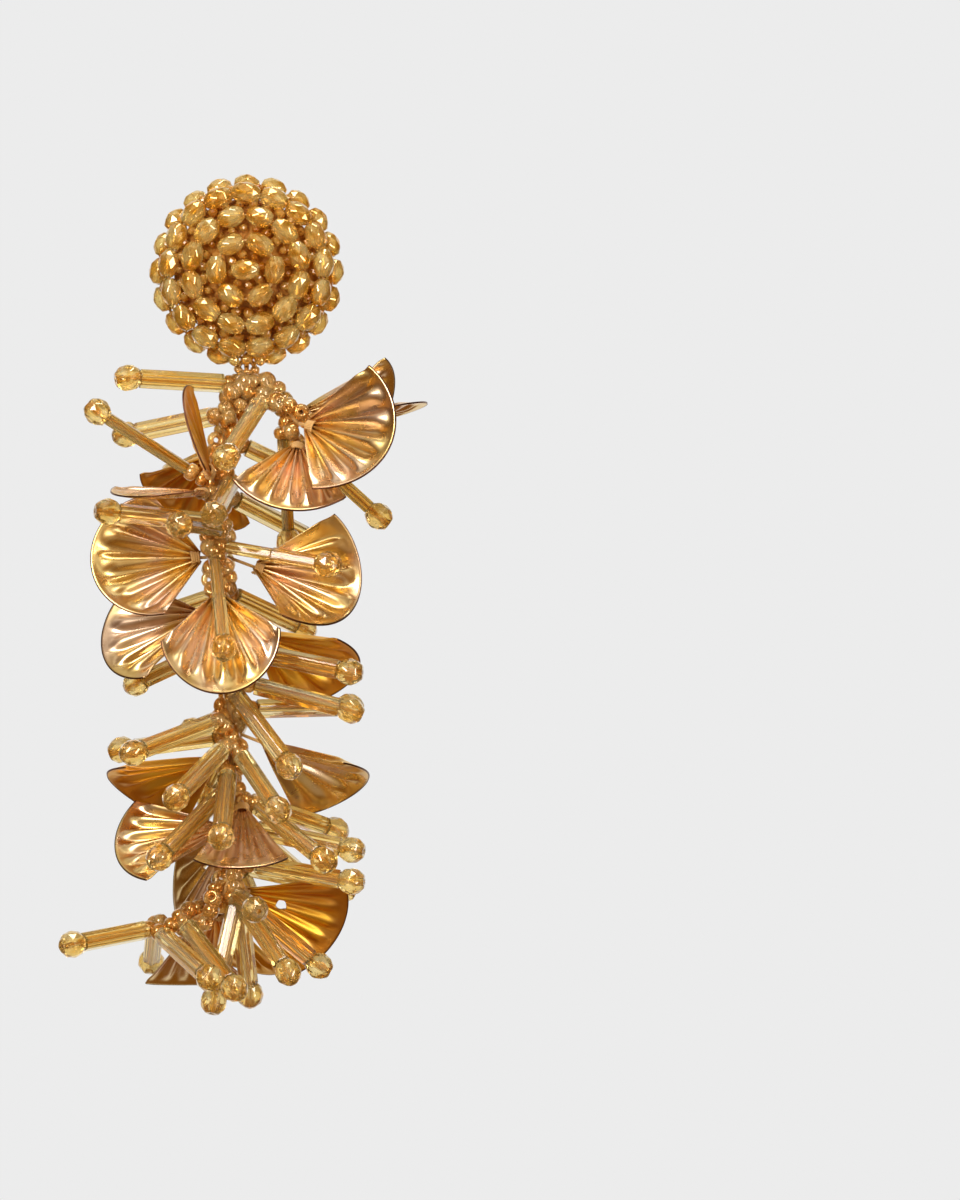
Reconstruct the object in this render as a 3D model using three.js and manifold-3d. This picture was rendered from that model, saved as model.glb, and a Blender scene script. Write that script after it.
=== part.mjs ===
// Tassel drop earring. A domed button of facetted beads is pinned to the ear, and a tassel of glass
// sprigs and pleated metal fans swings from its lower edge. Millimetres, +Z up, the front faces -Y.
// The origin is the middle of the pad that lies on the ear lobe, where the post leaves it.

import * as THREE from 'three';
import Module from 'manifold-3d';
import { mergeVertices } from 'three/addons/utils/BufferGeometryUtils.js';

const wasm = await Module();
wasm.setup();

// Driving sizes
const gap = 0.3; // between pieces that are only sewn or threaded together
const seatGap = 0.4; // from the string's skin to the middle of a limb's end
const knotRoom = 0.75; // the same beside the branch, whose knot stands out
const leastDepth = { sprig: 1.5, fan: 3.5 }; // how far a limb's tip lies in front of or behind the string
const crumb = 1e-3; // cubic millimetres
const beadSides = 10;
const wireSides = 6;

const pad = { radius: 4, thickness: 0.6 };
const post = { radius: 0.45, length: 11, tip: 0.35 };

const backing = { radius: 8.6, edge: 2, height: 4.5, rings: 3, sides: 24 };
const bead = { length: 3.1, radius: 1.3, neck: 0.8 };
const rings = [
  // name, distance of the beads from the middle, how far they stand off the pad, beads, slots left out
  { name: 'bead_rosette', radius: 3.5, depth: 6.4, count: 6, open: 0, middle: true },
  { name: 'bead_ring_2', radius: 6.6, depth: 5.6, count: 12, open: 0 },
  { name: 'bead_ring_3', radius: 9.3, depth: 4.2, count: 17, open: 0 },
  { name: 'bead_ring_4', radius: 10.35, depth: 1.6, count: 20, open: 1 },
];
const middleDepth = 6.8;

const link = { radius: 1, wire: 0.3, segments: 12 }; // both eyes of the hanging joint
const string = { radius: 0.8, depth: 1.6, sides: 8, steps: 22 };
const eyeHeight = -10.6; // middle of the eye on the button
const loopTop = eyeHeight - link.radius + 2 * link.wire + gap; // the swing axis

// The string's run seen from the front
const stringRun = [
  [0, -12.7], [-0.8, -14.8], [-2.3, -19], [-3, -25], [-3.6, -33], [-3, -39.5], [-2.3, -46.5],
  [-2, -52], [-1.8, -57], [-1.8, -61], [-1.1, -67], [-2, -73], [-4.7, -77], [-7, -78], [-10.2, -79],
];
// The side branch ends in the knot that carries the upper fans
const branchRun = [[-0.4, 1.6, -13.9], [2.6, 2.2, -14.6], [4.7, 2.8, -16.3], [6.4, 3, -18.6]];
const branchBead = { radius: 1.5, along: 0.62 };
const knotRadius = 0.95;

// Sprig kinds: lengths and radii of the bugles from the string outwards
const neck = { length: 1.3, radius: 0.35 };
const tipBead = { radius: 1.65, half: 1.5, waist: 0.95 };
const sprigKinds = {
  hex: { lengths: [10.4], radii: [1.22] },
  slim: { lengths: [11.2], radii: [0.84] },
  double: { lengths: [5.6, 5.6], radii: [0.82, 0.96] },
};

// A fan is a disc or a sector, gathered into pleats at one point of its edge
const fanSize = { reach: 13.8, neck: 1.4, stem: 0.8, thickness: 0.3, pleats: 5, pleatDepth: 0.5 };
const hole = { radius: 0.65, along: 0.42 };

// Sprigs: name, kind, strand, height of the root, tip across, tip height, side (1 leans to the
// front, -1 to the back). Rows with one name share a knot and are one piece.
const sprigRows = [
  ['sprig_01', 'hex', 'string', -13.6, -14.1, -12.9, 1],
  ['sprig_02', 'slim', 'string', -26.5, -17.7, -17.0, 1],
  ['sprig_03', 'hex', 'string', -17.0, -14.8, -19.5, -1],
  ['sprig_04', 'hex', 'branch', -14.5, -2.2, -22.7, 1],
  ['sprig_05', 'hex', 'string', -23.0, -3.6, -29.3, 1],
  ['sprig_06', 'slim', 'string', -30.9, -7.6, -30.6, 1],
  ['sprig_07', 'hex', 'string', -31.5, -15.8, -28.2, 1],
  ['sprig_08', 'hex', 'string', -26.5, 8.2, -32.4, -1],
  ['sprig_09', 'double', 'string', -33.5, -2.3, -47.2, 1],
  ['sprig_10', 'double', 'string', -33.4, 10.8, -35.4, 1],
  ['sprig_11', 'hex', 'string', -44.3, -13.6, -49.6, -1],
  ['sprig_12', 'hex', 'string', -43.6, 12.4, -48.1, 1],
  ['sprig_13', 'hex', 'string', -50.8, 13.0, -52.9, -1],
  ['sprig_14', 'hex', 'string', -48.5, 5.3, -59.4, 1],
  ['sprig_15', 'hex', 'string', -53.5, -13.4, -57.8, 1],
  ['sprig_16', 'hex', 'string', -60.0, -15.3, -57.6, -1],
  ['sprig_17', 'hex', 'string', -56.4, -8.1, -63.0, 1],
  ['sprig_18', 'hex', 'string', -57.6, 4.1, -64.5, 1],
  ['sprig_19', 'hex', 'string', -61.5, -2.7, -70.0, 1],
  ['sprig_20', 'hex', 'string', -62.0, -10.4, -70.5, 1],
  ['right_pair', 'hex', 'string', -64.6, 9.5, -70.6, 1],
  ['right_pair', 'hex', 'string', -64.6, 10.4, -67.2, -1],
  ['sprig_21', 'hex', 'string', -71.6, 13.7, -73.4, 1],
  ['sprig_22', 'hex', 'string', -79.0, -20.5, -80.5, 1],
  ['sprig_24', 'hex', 'string', -76.6, -3.4, -84.8, 1],
  ['sprig_25', 'hex', 'string', -75.8, -0.6, -86.6, 1],
  ['foot_spray', 'hex', 'string', -74.4, -3.6, -88.0, 1],
  ['foot_spray', 'hex', 'string', -74.4, 1.0, -88.7, -1],
  ['foot_spray', 'hex', 'string', -74.4, 2.0, -76.9, 1],
  ['foot_spray', 'hex', 'string', -74.4, 4.5, -83.4, 1],
  ['foot_spray', 'hex', 'string', -74.4, 6.7, -83.1, 1],
  ['knot_pair', 'slim', 'branch', -16.6, 16.4, -29.9, -1],
  ['knot_pair', 'slim', 'branch', -16.6, 5.0, -31.6, -1],
  ['rear_spray_1', 'hex', 'string', -23.0, -8.8, -23.9, -1],
  ['rear_spray_1', 'hex', 'string', -23.0, 11.0, -26.4, -1],
  ['rear_spray_1', 'hex', 'string', -23.0, -1.5, -18.5, -1],
  ['rear_spray_2', 'hex', 'string', -38.5, -11.9, -41.7, -1],
  ['rear_spray_2', 'hex', 'string', -38.5, 6.6, -43.0, -1],
  ['rear_spray_2', 'hex', 'string', -38.5, -3.5, -35.0, -1],
  ['rear_spray_3', 'hex', 'string', -51.5, -8.6, -57.6, -1],
  ['rear_spray_3', 'hex', 'string', -51.5, -5.0, -60.0, -1],
  ['rear_spray_3', 'hex', 'string', -51.5, 11.0, -52.2, -1],
  ['rear_spray_4', 'hex', 'string', -65.5, 11.0, -69.2, -1],
  ['rear_spray_4', 'hex', 'string', -65.5, 7.0, -73.5, -1],
  ['rear_spray_4', 'hex', 'string', -65.5, -5.0, -64.0, -1],
  ['rear_spray_5', 'hex', 'string', -72.0, 12.6, -74.6, -1],
  ['rear_spray_5', 'hex', 'string', -72.0, 2.0, -80.0, -1],
  ['sprig_23', 'hex', 'string', -78.6, -12.0, -83.6, -1],
].map(([name, kind, strand, height, tipX, tipZ, side]) => (
  { name, kind, strand, height, tipX, tipZ, side }));

// Fans: name, strand, height of the root, middle of the rim across and its height, side, degrees
// rolled about its length, curl of the edges, spread in degrees, roundness of the rim (1 is a round
// disc, 0 a sector with square corners), sewing hole or not
const fanRows = [
  ['fan_01', 'branch', -18.4, 17.6, -15.4, -1, 40, 0.1, 72, 0.4, false],
  ['fan_02', 'branch', -18.8, 17.6, -21.4, 1, -15, 0.25, 92, 0.5, false],
  ['fan_03', 'branch', -19.0, 5.0, -28.8, 1, 0, 0.15, 64, 0.4, false],
  ['fan_04', 'branch', -18.4, 21.2, -15.9, -1, 86, 0, 80, 0.8, false],
  ['fan_05', 'string', -26.5, -7.2, -16.6, 1, 82, 0.1, 70, 1, false],
  ['fan_06', 'string', -27.6, -13.8, -27.5, 1, 84, 0.1, 70, 1, false],
  ['fan_07', 'string', -19.6, -7.6, -29.8, -1, 0, 0.1, 84, 0.8, false],
  ['fan_08', 'string', -34.0, -19.0, -35.2, 1, 15, 0.2, 104, 0.8, false],
  ['fan_09', 'string', -34.8, -2.2, -50.2, 1, 0, 0.2, 92, 0.9, false],
  ['fan_10', 'string', -33.2, 13.4, -40.2, 1, -28, 0.5, 90, 0.7, false],
  ['fan_11', 'string', -40.6, -17.6, -45.3, -1, 40, 0.1, 84, 0.7, false],
  ['fan_12', 'string', -41.6, 13.2, -49.2, -1, 48, 0.2, 88, 0.6, false],
  ['fan_13', 'string', -55.4, 14.4, -61.8, -1, 60, 0.25, 88, 0.4, false],
  ['fan_14', 'string', -57.4, -16.4, -62.0, -1, -58, 0.25, 88, 0.5, false],
  ['fan_15', 'string', -65.0, -15.8, -69.6, -1, 48, 0.1, 68, 0.5, false],
  ['fan_16', 'string', -75.0, 12.2, -79.2, -1, 25, 0.15, 66, 0.3, true],
  ['fan_17', 'string', -77.9, -5.8, -86.2, -1, 10, 0.2, 62, 0.6, false],
  ['fan_18', 'string', -76.6, -1.2, -84.6, -1, 40, 0.1, 76, 0.8, false],
  ['fan_19', 'string', -69.5, -9.5, -77.2, -1, 55, 0.1, 80, 0.8, true],
  ['fan_20', 'string', -60.8, -0.4, -71.0, 1, 0, -0.1, 54, 0.9, false],
].map(([name, strand, height, tipX, tipZ, side, roll, curl, spread, roundness, sewn]) => (
  { name, strand, height, tipX, tipZ, side, roll, curl, spread, roundness, sewn }));

const glass = new THREE.MeshStandardMaterial({ color: 0xd9a95c, roughness: 0.15, metalness: 0.1 });
const metal = new THREE.MeshStandardMaterial({ color: 0xd6a45f, roughness: 0.25, metalness: 1 });
const thread = new THREE.MeshStandardMaterial({ color: 0x9a6a2c, roughness: 0.7, metalness: 0 });
const felt = new THREE.MeshStandardMaterial({ color: 0x8a5a20, roughness: 0.9, metalness: 0 });
const steel = new THREE.MeshStandardMaterial({ color: 0xd8b878, roughness: 0.3, metalness: 1 });

// ---- Geometry helpers

function bare(geometry) {
  const plain = geometry.clone();
  for (const name of Object.keys(plain.attributes)) {
    if (name !== 'position') plain.deleteAttribute(name);
  }
  return mergeVertices(plain, 1e-4);
}

function solid(geometry) {
  const merged = bare(geometry);
  const mesh = new wasm.Mesh({
    numProp: 3,
    vertProperties: new Float32Array(merged.attributes.position.array),
    triVerts: new Uint32Array(merged.index.array),
  });
  return new wasm.Manifold(mesh);
}

function shell(body) {
  const mesh = body.getMesh();
  const geometry = new THREE.BufferGeometry();
  geometry.setAttribute('position', new THREE.BufferAttribute(new Float32Array(mesh.vertProperties), 3));
  geometry.setIndex(new THREE.BufferAttribute(new Uint32Array(mesh.triVerts), 1));
  geometry.computeVertexNormals();
  return geometry;
}

// One body from several that overlap; a crumb left where faces cross is dropped
function fused(geometries) {
  const pieces = geometries.map(solid).reduce((sum, body) => sum.add(body)).decompose();
  const whole = pieces.filter((piece) => Math.abs(piece.volume()) > crumb);
  if (whole.length > 1) throw new Error('pieces that should be one body lie apart');
  return shell(whole[0]);
}

// A turned form about Z, from [radius, height] pairs that start and end on the axis
function turned(profile, sides) {
  const points = profile.map(([radius, height]) => new THREE.Vector2(radius, height));
  return new THREE.LatheGeometry(points, sides).rotateX(Math.PI / 2);
}

function rod(radius, length, sides, start = 0) {
  return new THREE.CylinderGeometry(radius, radius, length, sides)
    .rotateX(Math.PI / 2)
    .translate(0, 0, start + length / 2);
}

function polygon(radius, sides) {
  const corners = [];
  for (let i = 0; i < sides; i++) {
    const angle = (2 * Math.PI * i) / sides;
    corners.push(new THREE.Vector2(radius * Math.cos(angle), radius * Math.sin(angle)));
  }
  return new THREE.Shape(corners);
}

function tube(curve, radius, sides, steps) {
  return new THREE.ExtrudeGeometry(polygon(radius, sides), { extrudePath: curve, steps });
}

// A closed skin between sections of equal point counts; a closed run has no end caps
function skin(sections, closed) {
  const sides = sections[0].length;
  const positions = sections.flat().flatMap((p) => [p.x, p.y, p.z]);
  const index = [];
  const runs = closed ? sections.length : sections.length - 1;
  for (let i = 0; i < runs; i++) {
    const here = i * sides;
    const next = ((i + 1) % sections.length) * sides;
    for (let j = 0; j < sides; j++) {
      const k = (j + 1) % sides;
      index.push(here + j, next + k, here + k, here + j, next + j, next + k);
    }
  }
  if (!closed) {
    const last = (sections.length - 1) * sides;
    for (let j = 1; j < sides - 1; j++) {
      index.push(0, j, j + 1);
      index.push(last, last + j + 1, last + j);
    }
  }
  const geometry = new THREE.BufferGeometry();
  geometry.setAttribute('position', new THREE.Float32BufferAttribute(positions, 3));
  geometry.setIndex(index);
  geometry.computeVertexNormals();
  return geometry;
}

function part(name, geometry, material) {
  const mesh = new THREE.Mesh(geometry, material);
  mesh.name = name;
  return mesh;
}

// ---- The button

function earPost() {
  const body = turned([
    [0, -pad.thickness], [pad.radius, -pad.thickness], [pad.radius, 0], [post.radius, 0],
    [post.radius, post.length - post.tip], [post.radius - post.tip, post.length], [0, post.length],
  ], 12);
  return part('ear_post', body.rotateX(-Math.PI / 2), steel); // its axis turns from Z to Y
}

// A ring of wire of the link's size about the X axis (side view) or the Y axis (front view)
function eye(alongX, height) {
  const turn = alongX ? Math.PI / 2 : 0;
  const ring = new THREE.TorusGeometry(link.radius, link.wire, wireSides, link.segments);
  return ring.rotateY(turn).rotateX(alongX ? 0 : Math.PI / 2).translate(0, -string.depth, height);
}

function buttonBacking() {
  const front = [];
  for (let i = 0; i <= backing.rings; i++) {
    const angle = (Math.PI / 2) * (i / backing.rings);
    const rise = (backing.height - backing.edge) * Math.sin(angle);
    front.push([backing.radius * Math.cos(angle), pad.thickness + backing.edge + rise]);
  }
  front[backing.rings][0] = 0;
  const pocket = pad.radius + gap; // the pad is let in, so the back is flat
  const back = [[0, pad.thickness], [pocket, pad.thickness], [pocket, 0], [backing.radius, 0]];
  const disc = turned([...back, ...front], backing.sides).rotateX(Math.PI / 2); // from Z to -Y
  const stalk = rod(link.wire, backing.radius, wireSides)
    .translate(0, -string.depth, eyeHeight + link.radius - link.wire);
  return part('button_backing', fused([disc, stalk, eye(true, eyeHeight)]), felt);
}

// Sections of one bead along its thread: [place along the bead, radius]
const beadStations = [[-0.5, bead.neck], [0, bead.radius]];

function beadSection(centre, out, up, radius) {
  const points = [];
  for (let j = 0; j < beadSides; j++) {
    const angle = (2 * Math.PI * j) / beadSides;
    points.push(centre.clone()
      .addScaledVector(out, radius * Math.cos(angle))
      .addScaledVector(up, radius * Math.sin(angle)));
  }
  return points;
}

function beadString({ radius, depth, count, open }) {
  const pitch = (2 * Math.PI) / count;
  const beads = count - open;
  const forward = new THREE.Vector3(0, -1, 0);
  const sections = [];
  for (let i = 0; i < beads; i++) {
    const middle = -Math.PI / 2 + pitch * (i + (open ? 1 : 0.5));
    for (const [along, size] of beadStations) {
      const angle = middle + pitch * along;
      const out = new THREE.Vector3(Math.cos(angle), 0, Math.sin(angle));
      const centre = out.clone().multiplyScalar(radius).setY(-depth);
      sections.push(beadSection(centre, out, forward, size));
    }
  }
  if (open) {
    const angle = -Math.PI / 2 + pitch * (beads + 0.5);
    const out = new THREE.Vector3(Math.cos(angle), 0, Math.sin(angle));
    sections.push(beadSection(out.clone().multiplyScalar(radius).setY(-depth), out, forward, bead.neck));
  }
  return skin(sections, open === 0);
}

function barrel() {
  const half = bead.length / 2;
  const profile = [[0, -half], [bead.neck, -half], [bead.radius, 0], [bead.neck, half], [0, half]];
  return turned(profile, beadSides);
}

function beadRing(ring) {
  const loop = beadString(ring);
  if (!ring.middle) return part(ring.name, loop, glass);
  const centre = barrel().rotateY(Math.PI / 2).translate(0, -middleDepth, 0);
  const stitch = rod(bead.neck, 2 * ring.radius, wireSides, -ring.radius)
    .rotateY(Math.PI / 2)
    .translate(0, -ring.depth, 0);
  return part(ring.name, fused([loop, centre, stitch]), glass);
}

// ---- The strands that carry everything below the button

const stringCurve = new THREE.CatmullRomCurve3(
  stringRun.map(([x, z]) => new THREE.Vector3(x, -string.depth, z)));
const branchCurve = new THREE.CatmullRomCurve3(
  branchRun.map(([x, depth, z]) => new THREE.Vector3(x, -depth, z)));
const strands = {
  string: { points: stringCurve.getSpacedPoints(160) },
  branch: { points: branchCurve.getSpacedPoints(20) },
};

function dropString() {
  const knot = branchCurve.getPoint(1);
  const round = branchCurve.getPoint(branchBead.along);
  const body = fused([
    eye(false, loopTop - link.radius),
    tube(stringCurve, string.radius, string.sides, string.steps),
    tube(branchCurve, string.radius, string.sides, 5),
    new THREE.IcosahedronGeometry(knotRadius, 0).translate(...knot.toArray()),
    new THREE.IcosahedronGeometry(branchBead.radius, 1).translate(...round.toArray()),
  ]);
  return part('drop_string', body, thread);
}

function nearest(strand, point) {
  let best = strand.points[0];
  for (const candidate of strand.points) {
    if (candidate.distanceToSquared(point) < best.distanceToSquared(point)) best = candidate;
  }
  return best;
}

// The place beside a strand that faces the point
function seat(strand, point, standOff) {
  const middle = nearest(strand, point);
  const away = point.clone().sub(middle);
  return middle.clone().add(away.setLength(standOff));
}

// ---- Limbs: every sprig and every fan is a straight limb that leaves its root on a strand

function sprigReach(kind) {
  return neck.length + sprigKinds[kind].lengths.reduce((sum, length) => sum + length) + tipBead.half;
}

function makeLimb(row, index, rows) {
  const strand = strands[row.strand];
  const start = strand.points.reduce((best, point) => (
    Math.abs(point.z - row.height) < Math.abs(best.z - row.height) ? point : best));
  const shared = rows.filter(({ name }) => name === row.name).length > 1;
  const room = row.strand === 'branch' ? knotRoom : seatGap;
  const standOff = string.radius + (shared ? gap + knotRadius : room);
  const least = row.kind ? sprigReach(row.kind) : fanSize.stem + fanSize.reach;
  const across = row.tipX - start.x;
  const rise = row.tipZ - start.z;
  const lean = row.kind ? leastDepth.sprig : leastDepth.fan;
  const whole = Math.max(least + standOff, Math.hypot(across, rise, lean));
  const depth = Math.sqrt(whole * whole - across * across - rise * rise);
  const tip = new THREE.Vector3(row.tipX, start.y - row.side * depth, row.tipZ);
  const root = seat(strand, start.clone().lerp(tip, 0.1), standOff);
  return { ...row, strand, shared, standOff, reach: whole - standOff, root, tip };
}

function limbAxes(limb) {
  const along = limb.tip.clone().sub(limb.root).normalize();
  const front = new THREE.Vector3(0, -1, 0);
  const across = along.clone().cross(front).normalize();
  const basis = new THREE.Matrix4().makeBasis(across, across.clone().cross(along).negate(), along);
  if (limb.roll) basis.multiply(new THREE.Matrix4().makeRotationZ(THREE.MathUtils.degToRad(limb.roll)));
  return basis;
}

// Where a fan's sheet lies in its own axes: t from its neck to its rim, s from -1 to 1 across it
function fanPoint(limb, t, s, pleated) {
  const angle = (s * THREE.MathUtils.degToRad(limb.spread)) / 2;
  const rim = fanSize.reach * Math.cos(angle) ** limb.roundness;
  const radius = THREE.MathUtils.lerp(fanSize.neck, rim, t);
  const bend = limb.curl * radius * (1 - Math.cos(2 * angle));
  const start = limb.reach - fanSize.reach;
  return new THREE.Vector3(radius * Math.sin(angle), pleated - bend, start + radius * Math.cos(angle));
}

// Round spots that fill a limb; the lever is how far along the limb each one lies, from 0 to 1
const spot = { step: 0.9, grow: 0.1, fan: 0.88 };

function spots(limb) {
  const axes = limbAxes(limb).setPosition(limb.root);
  const list = [];
  const add = (x, y, z, size) => {
    const place = new THREE.Vector3(x, y, z).applyMatrix4(axes);
    list.push({ place, size, limb, lever: Math.min(z / limb.reach, 1) });
  };
  if (limb.kind) {
    const { lengths, radii } = sprigKinds[limb.kind];
    const end = limb.reach - tipBead.half;
    const first = end - lengths.reduce((sum, length) => sum + length);
    const wide = Math.max(...radii);
    for (let z = spot.step; z < first; z += spot.step) add(0, 0, z, neck.radius + spot.grow);
    for (let z = first + spot.step / 2; z < end; z += spot.step) add(0, 0, z, wide + spot.grow);
    add(0, 0, limb.reach, tipBead.radius + spot.grow);
    if (limb.shared) add(0, 0, 0, knotRadius);
    return list;
  }
  for (const t of [0.05, 0.2, 0.36, 0.52, 0.68, 0.84, 1]) {
    const count = Math.round(2 + t * 10);
    for (let i = 0; i < count; i++) {
      const { x, y, z } = fanPoint(limb, t, (2 * i) / (count - 1) - 1, 0);
      add(x, y, z, spot.fan);
    }
  }
  return list;
}

const settling = {
  rounds: 340,
  slack: 0.35, // kept between neighbours
  share: 0.5, // of an overlap cleared in one round
  sideways: 0.4, // share of a push that shows from the front
  fanShare: 0.25, // share of a push that a fan takes
  pull: 0.06, // back to the tip's place in the front view
  free: 3, // length at the root that may lie against its own strand
};

function pushLimb(limb, push, lever) {
  const share = limb.kind ? 1 : settling.fanShare;
  const move = push.clone().multiplyScalar(share);
  move.x *= settling.sideways;
  move.z *= settling.sideways;
  limb.tipMove.addScaledVector(move, lever);
  limb.rootMove.addScaledVector(move, 1 - lever);
}

// Crowded limbs lean apart, mostly in depth, until each one is clear of its neighbours
function settle(limbs, fixed) {
  for (let round = 0; round < settling.rounds; round++) {
    for (const limb of limbs) {
      limb.tipMove = new THREE.Vector3();
      limb.rootMove = new THREE.Vector3();
    }
    const all = [...limbs.flatMap(spots), ...fixed];
    for (let i = 0; i < all.length; i++) {
      const a = all[i];
      if (!a.limb) break;
      for (let j = i + 1; j < all.length; j++) {
        const b = all[j];
        const reach = a.size + b.size + settling.slack;
        if (Math.abs(a.place.x - b.place.x) > reach || Math.abs(a.place.z - b.place.z) > reach) continue;
        if (a.limb === b.limb) continue;
        const line = a.place.clone().sub(b.place);
        const distance = line.length();
        if (distance >= reach) continue;
        const near = a.lever * a.limb.reach;
        if (b.limb && a.limb.name === b.limb.name && near < settling.free) continue;
        if (!b.limb && b.strand === a.limb.strand && near < settling.free) continue;
        line.setLength((reach - distance) * settling.share);
        pushLimb(a.limb, line, a.lever);
        if (b.limb) pushLimb(b.limb, line.negate(), b.lever);
      }
    }
    for (const limb of limbs) {
      limb.root = seat(limb.strand, limb.root.add(limb.rootMove), limb.standOff);
      limb.tip.add(limb.tipMove);
      limb.tip.x += settling.pull * (limb.tipX - limb.tip.x);
      limb.tip.z += settling.pull * (limb.tipZ - limb.tip.z);
    }
    shareRoots(limbs);
    for (const limb of limbs) {
      limb.tip = limb.root.clone().add(limb.tip.clone().sub(limb.root).setLength(limb.reach));
    }
  }
}

// Limbs of one name keep one root
function shareRoots(limbs) {
  for (const group of Map.groupBy(limbs, (limb) => limb.name).values()) {
    if (group.length === 1) continue;
    const mean = new THREE.Vector3();
    for (const limb of group) mean.addScaledVector(limb.root, 1 / group.length);
    const root = seat(group[0].strand, mean, group[0].standOff);
    for (const limb of group) limb.root = root.clone();
  }
}

// ---- Bodies of the limbs

const tipProfile = [
  [0, -tipBead.half], [tipBead.waist, -tipBead.half], [tipBead.radius, 0],
  [tipBead.waist, tipBead.half], [0, tipBead.half],
];

function sprigBodies(limb) {
  const { lengths, radii } = sprigKinds[limb.kind];
  const lap = 0.05;
  let end = limb.reach - tipBead.half;
  const bodies = [turned(tipProfile, beadSides).translate(0, 0, limb.reach - lap)];
  for (let i = lengths.length - 1; i >= 0; i--) {
    bodies.push(rod(radii[i], lengths[i], wireSides, end - lengths[i]));
    end -= lengths[i] - lap;
  }
  if (end > lap) bodies.push(rod(neck.radius, end + lap, wireSides));
  return bodies;
}

function sprigMesh(group) {
  const [first] = group;
  const bodies = group.flatMap((limb) => (
    sprigBodies(limb).map((body) => (limb.shared ? body.applyMatrix4(limbAxes(limb)) : body))));
  if (first.shared) bodies.push(new THREE.IcosahedronGeometry(knotRadius, 0));
  const mesh = part(first.name, fused(bodies), glass);
  mesh.position.copy(first.root);
  if (!first.shared) mesh.quaternion.setFromRotationMatrix(limbAxes(first));
  return mesh;
}

// A closed sheet from a grid of middle points; the front is -Y
function sheet(rows, thickness) {
  const columns = rows[0].length;
  const count = rows.length * columns;
  const positions = [];
  for (const side of [-1, 1]) {
    for (const p of rows.flat()) positions.push(p.x, p.y + (side * thickness) / 2, p.z);
  }
  const at = (r, c) => r * columns + c;
  const index = [];
  for (let r = 0; r < rows.length - 1; r++) {
    for (let c = 0; c < columns - 1; c++) {
      const quad = [at(r, c), at(r, c + 1), at(r + 1, c + 1), at(r + 1, c)];
      index.push(quad[0], quad[1], quad[2], quad[0], quad[2], quad[3]);
      index.push(quad[0] + count, quad[2] + count, quad[1] + count);
      index.push(quad[0] + count, quad[3] + count, quad[2] + count);
    }
  }
  const top = rows.length - 1;
  const right = columns - 1;
  const rim = [];
  for (let c = 0; c < right; c++) rim.push([at(0, c), at(0, c + 1)], [at(top, c + 1), at(top, c)]);
  for (let r = 0; r < top; r++) rim.push([at(r, right), at(r + 1, right)], [at(r + 1, 0), at(r, 0)]);
  for (const [p, q] of rim) index.push(q, p, p + count, q, p + count, q + count);
  const geometry = new THREE.BufferGeometry();
  geometry.setAttribute('position', new THREE.Float32BufferAttribute(positions, 3));
  geometry.setIndex(index);
  return geometry;
}

const fanStations = [[0, 0.7], [0.74, 1], [1, 0]]; // place from neck to rim, share of the pleat depth

function fanMesh(limb) {
  const columns = 2 * fanSize.pleats;
  const rows = fanStations.map(([t, share]) => {
    const points = [];
    for (let c = 0; c <= columns; c++) {
      const fold = (c % 2 ? 1 : -1) * share * fanSize.pleatDepth;
      points.push(fanPoint(limb, t, (2 * c) / columns - 1, fold));
    }
    return points;
  });
  const start = limb.reach - fanSize.reach;
  const stem = rod(neck.radius, start + fanSize.neck + fanSize.thickness, wireSides);
  let body = solid(sheet(rows, fanSize.thickness)).add(solid(stem));
  if (limb.sewn) {
    const drill = new THREE.CylinderGeometry(hole.radius, hole.radius, 6, beadSides)
      .translate(0, 0, start + hole.along * fanSize.reach);
    body = body.subtract(solid(drill));
  }
  const mesh = part(limb.name, shell(body), metal);
  mesh.quaternion.setFromRotationMatrix(limbAxes(limb));
  mesh.position.copy(limb.root);
  return mesh;
}

// ---- Everything together

function fixedSpots() {
  const list = [];
  for (const strand of Object.values(strands)) {
    for (const place of strand.points) list.push({ place, size: string.radius + spot.grow, strand });
  }
  for (const { radius, depth, count } of rings.slice(2)) {
    for (let i = 0; i < count; i++) {
      const angle = (2 * Math.PI * i) / count;
      const place = new THREE.Vector3(radius * Math.cos(angle), -depth, radius * Math.sin(angle));
      list.push({ place, size: bead.radius + 0.6 });
    }
  }
  return list;
}

const earring = new THREE.Group();
const button = new THREE.Group();
const drop = new THREE.Group();
earring.add(button, drop);

button.add(earPost(), buttonBacking(), ...rings.map(beadRing));

const limbs = [...fanRows, ...sprigRows].map(makeLimb);
shareRoots(limbs);
settle(limbs, fixedSpots());
drop.add(dropString());
for (const group of Map.groupBy(limbs, (limb) => limb.name).values()) {
  drop.add(group[0].kind ? sprigMesh(group) : fanMesh(group[0]));
}

export default earring;
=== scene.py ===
from math import cos, log, pi, sin

import bmesh
import bpy
import numpy as np
from mathutils import Matrix, Vector


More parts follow.
